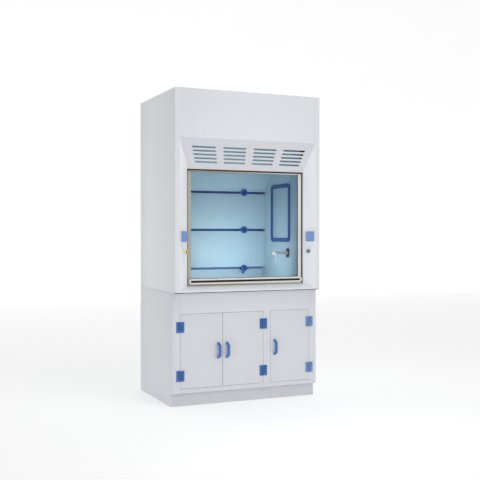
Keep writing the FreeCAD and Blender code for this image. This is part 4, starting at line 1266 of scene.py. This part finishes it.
# %% Gas outlet
gas_low, gas_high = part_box("gas_outlet")
gas_middle = (gas_low + gas_high) / 2
gas_radius = (gas_high.z - gas_low.z) / 2
gas = [(0, 0), (gas_radius, 0), (gas_radius, 4 * MM), (gas_radius * 0.92, 6 * MM), (14 * MM, 6 * MM),
       (14 * MM, 36 * MM), (12 * MM, 40 * MM), (9 * MM, 45 * MM), (5 * MM, 46 * MM)]
for start in (48, 57, 66, 75):
    gas += [(4.4 * MM, start * MM), (5.5 * MM, (start + 1) * MM), (4.5 * MM, (start + 8) * MM)]
gas += [(3.6 * MM, 85 * MM), (2.4 * MM, 85 * MM), (2.4 * MM, 60 * MM), (0, 60 * MM)]
outlet = turned(gas, (gas_low.x, gas_middle.y, gas_middle.z), (1, 0, 0), 36)
settle("gas_outlet_turned", as_mesh(outlet, "gas_outlet_turned", 38), tap_grey, "root",
       slot_of["gas_outlet"], ("gas_outlet",))
print("gas outlet at", tuple(gas_middle))

# %% [markdown]
# ## Sash cables
# Two stainless ropes carry the sash over pulleys to the counterweights. A rope that joins a still part
# to a moving one gets longer or shorter as the sash moves. Here each straight run is baked in place and
# rides on no body. A rope is three strands wound round one another.


# %% Ropes
ROPE = 1.5 * MM
STRANDS = 3
LAY = 26 * MM
LAY_STEPS = 8
SIDES = 6


def level_spoke(angle, length):
    return Vector((math.cos(angle), math.sin(angle), 0)) * length


def rope(top, bottom, radius, bm):
    """Strands wound about an upright line, cut into short lengths."""
    steps = max(LAY_STEPS, round((top - bottom).length / (LAY / LAY_STEPS)))
    for strand in range(STRANDS):
        rings = []
        for step in range(steps + 1):
            angle = 2 * math.pi * (step / LAY_STEPS + strand / STRANDS)
            middle = top.lerp(bottom, step / steps) + level_spoke(angle, radius * 0.5)
            rings.append([bm.verts.new(middle + level_spoke(2 * math.pi * corner / SIDES, radius * 0.52))
                          for corner in range(SIDES)])
        for first, second in zip(rings, rings[1:]):
            for corner in range(SIDES):
                after = (corner + 1) % SIDES
                bm.faces.new([first[corner], second[corner], second[after], first[after]])
        bm.faces.new(rings[0])
        bm.faces.new(list(reversed(rings[-1])))
    bmesh.ops.recalc_face_normals(bm, faces=bm.faces)


for node, body, name in (("sash_cables", "sash", "sash_rope"),
                         ("weight_cables", "counterweights", "weight_rope")):
    low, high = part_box(node)
    middle_y = (low.y + high.y) / 2
    ropes = bmesh.new()
    for side in (-1, 1):
        x = side * (high.x - ROPE)
        rope(Vector((x, middle_y, high.z)), Vector((x, middle_y, low.z)), ROPE, ropes)
    settle(name, as_mesh(ropes, name, 50), stainless, body, slot_of[node], (node,),
           ((0, middle_y, high.z), (0, middle_y, low.z)))
    print(name, "from", high.z, "down to", low.z)

# %% [markdown]
# ## The count
# The box round everything shown, without the floor and backdrop, is measured, and the pieces and their
# triangles are counted.

# %% Finish
low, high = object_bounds()
print("pieces:", len(pieces), "triangles:", sum(len(p.data.loop_triangles) for p in pieces))
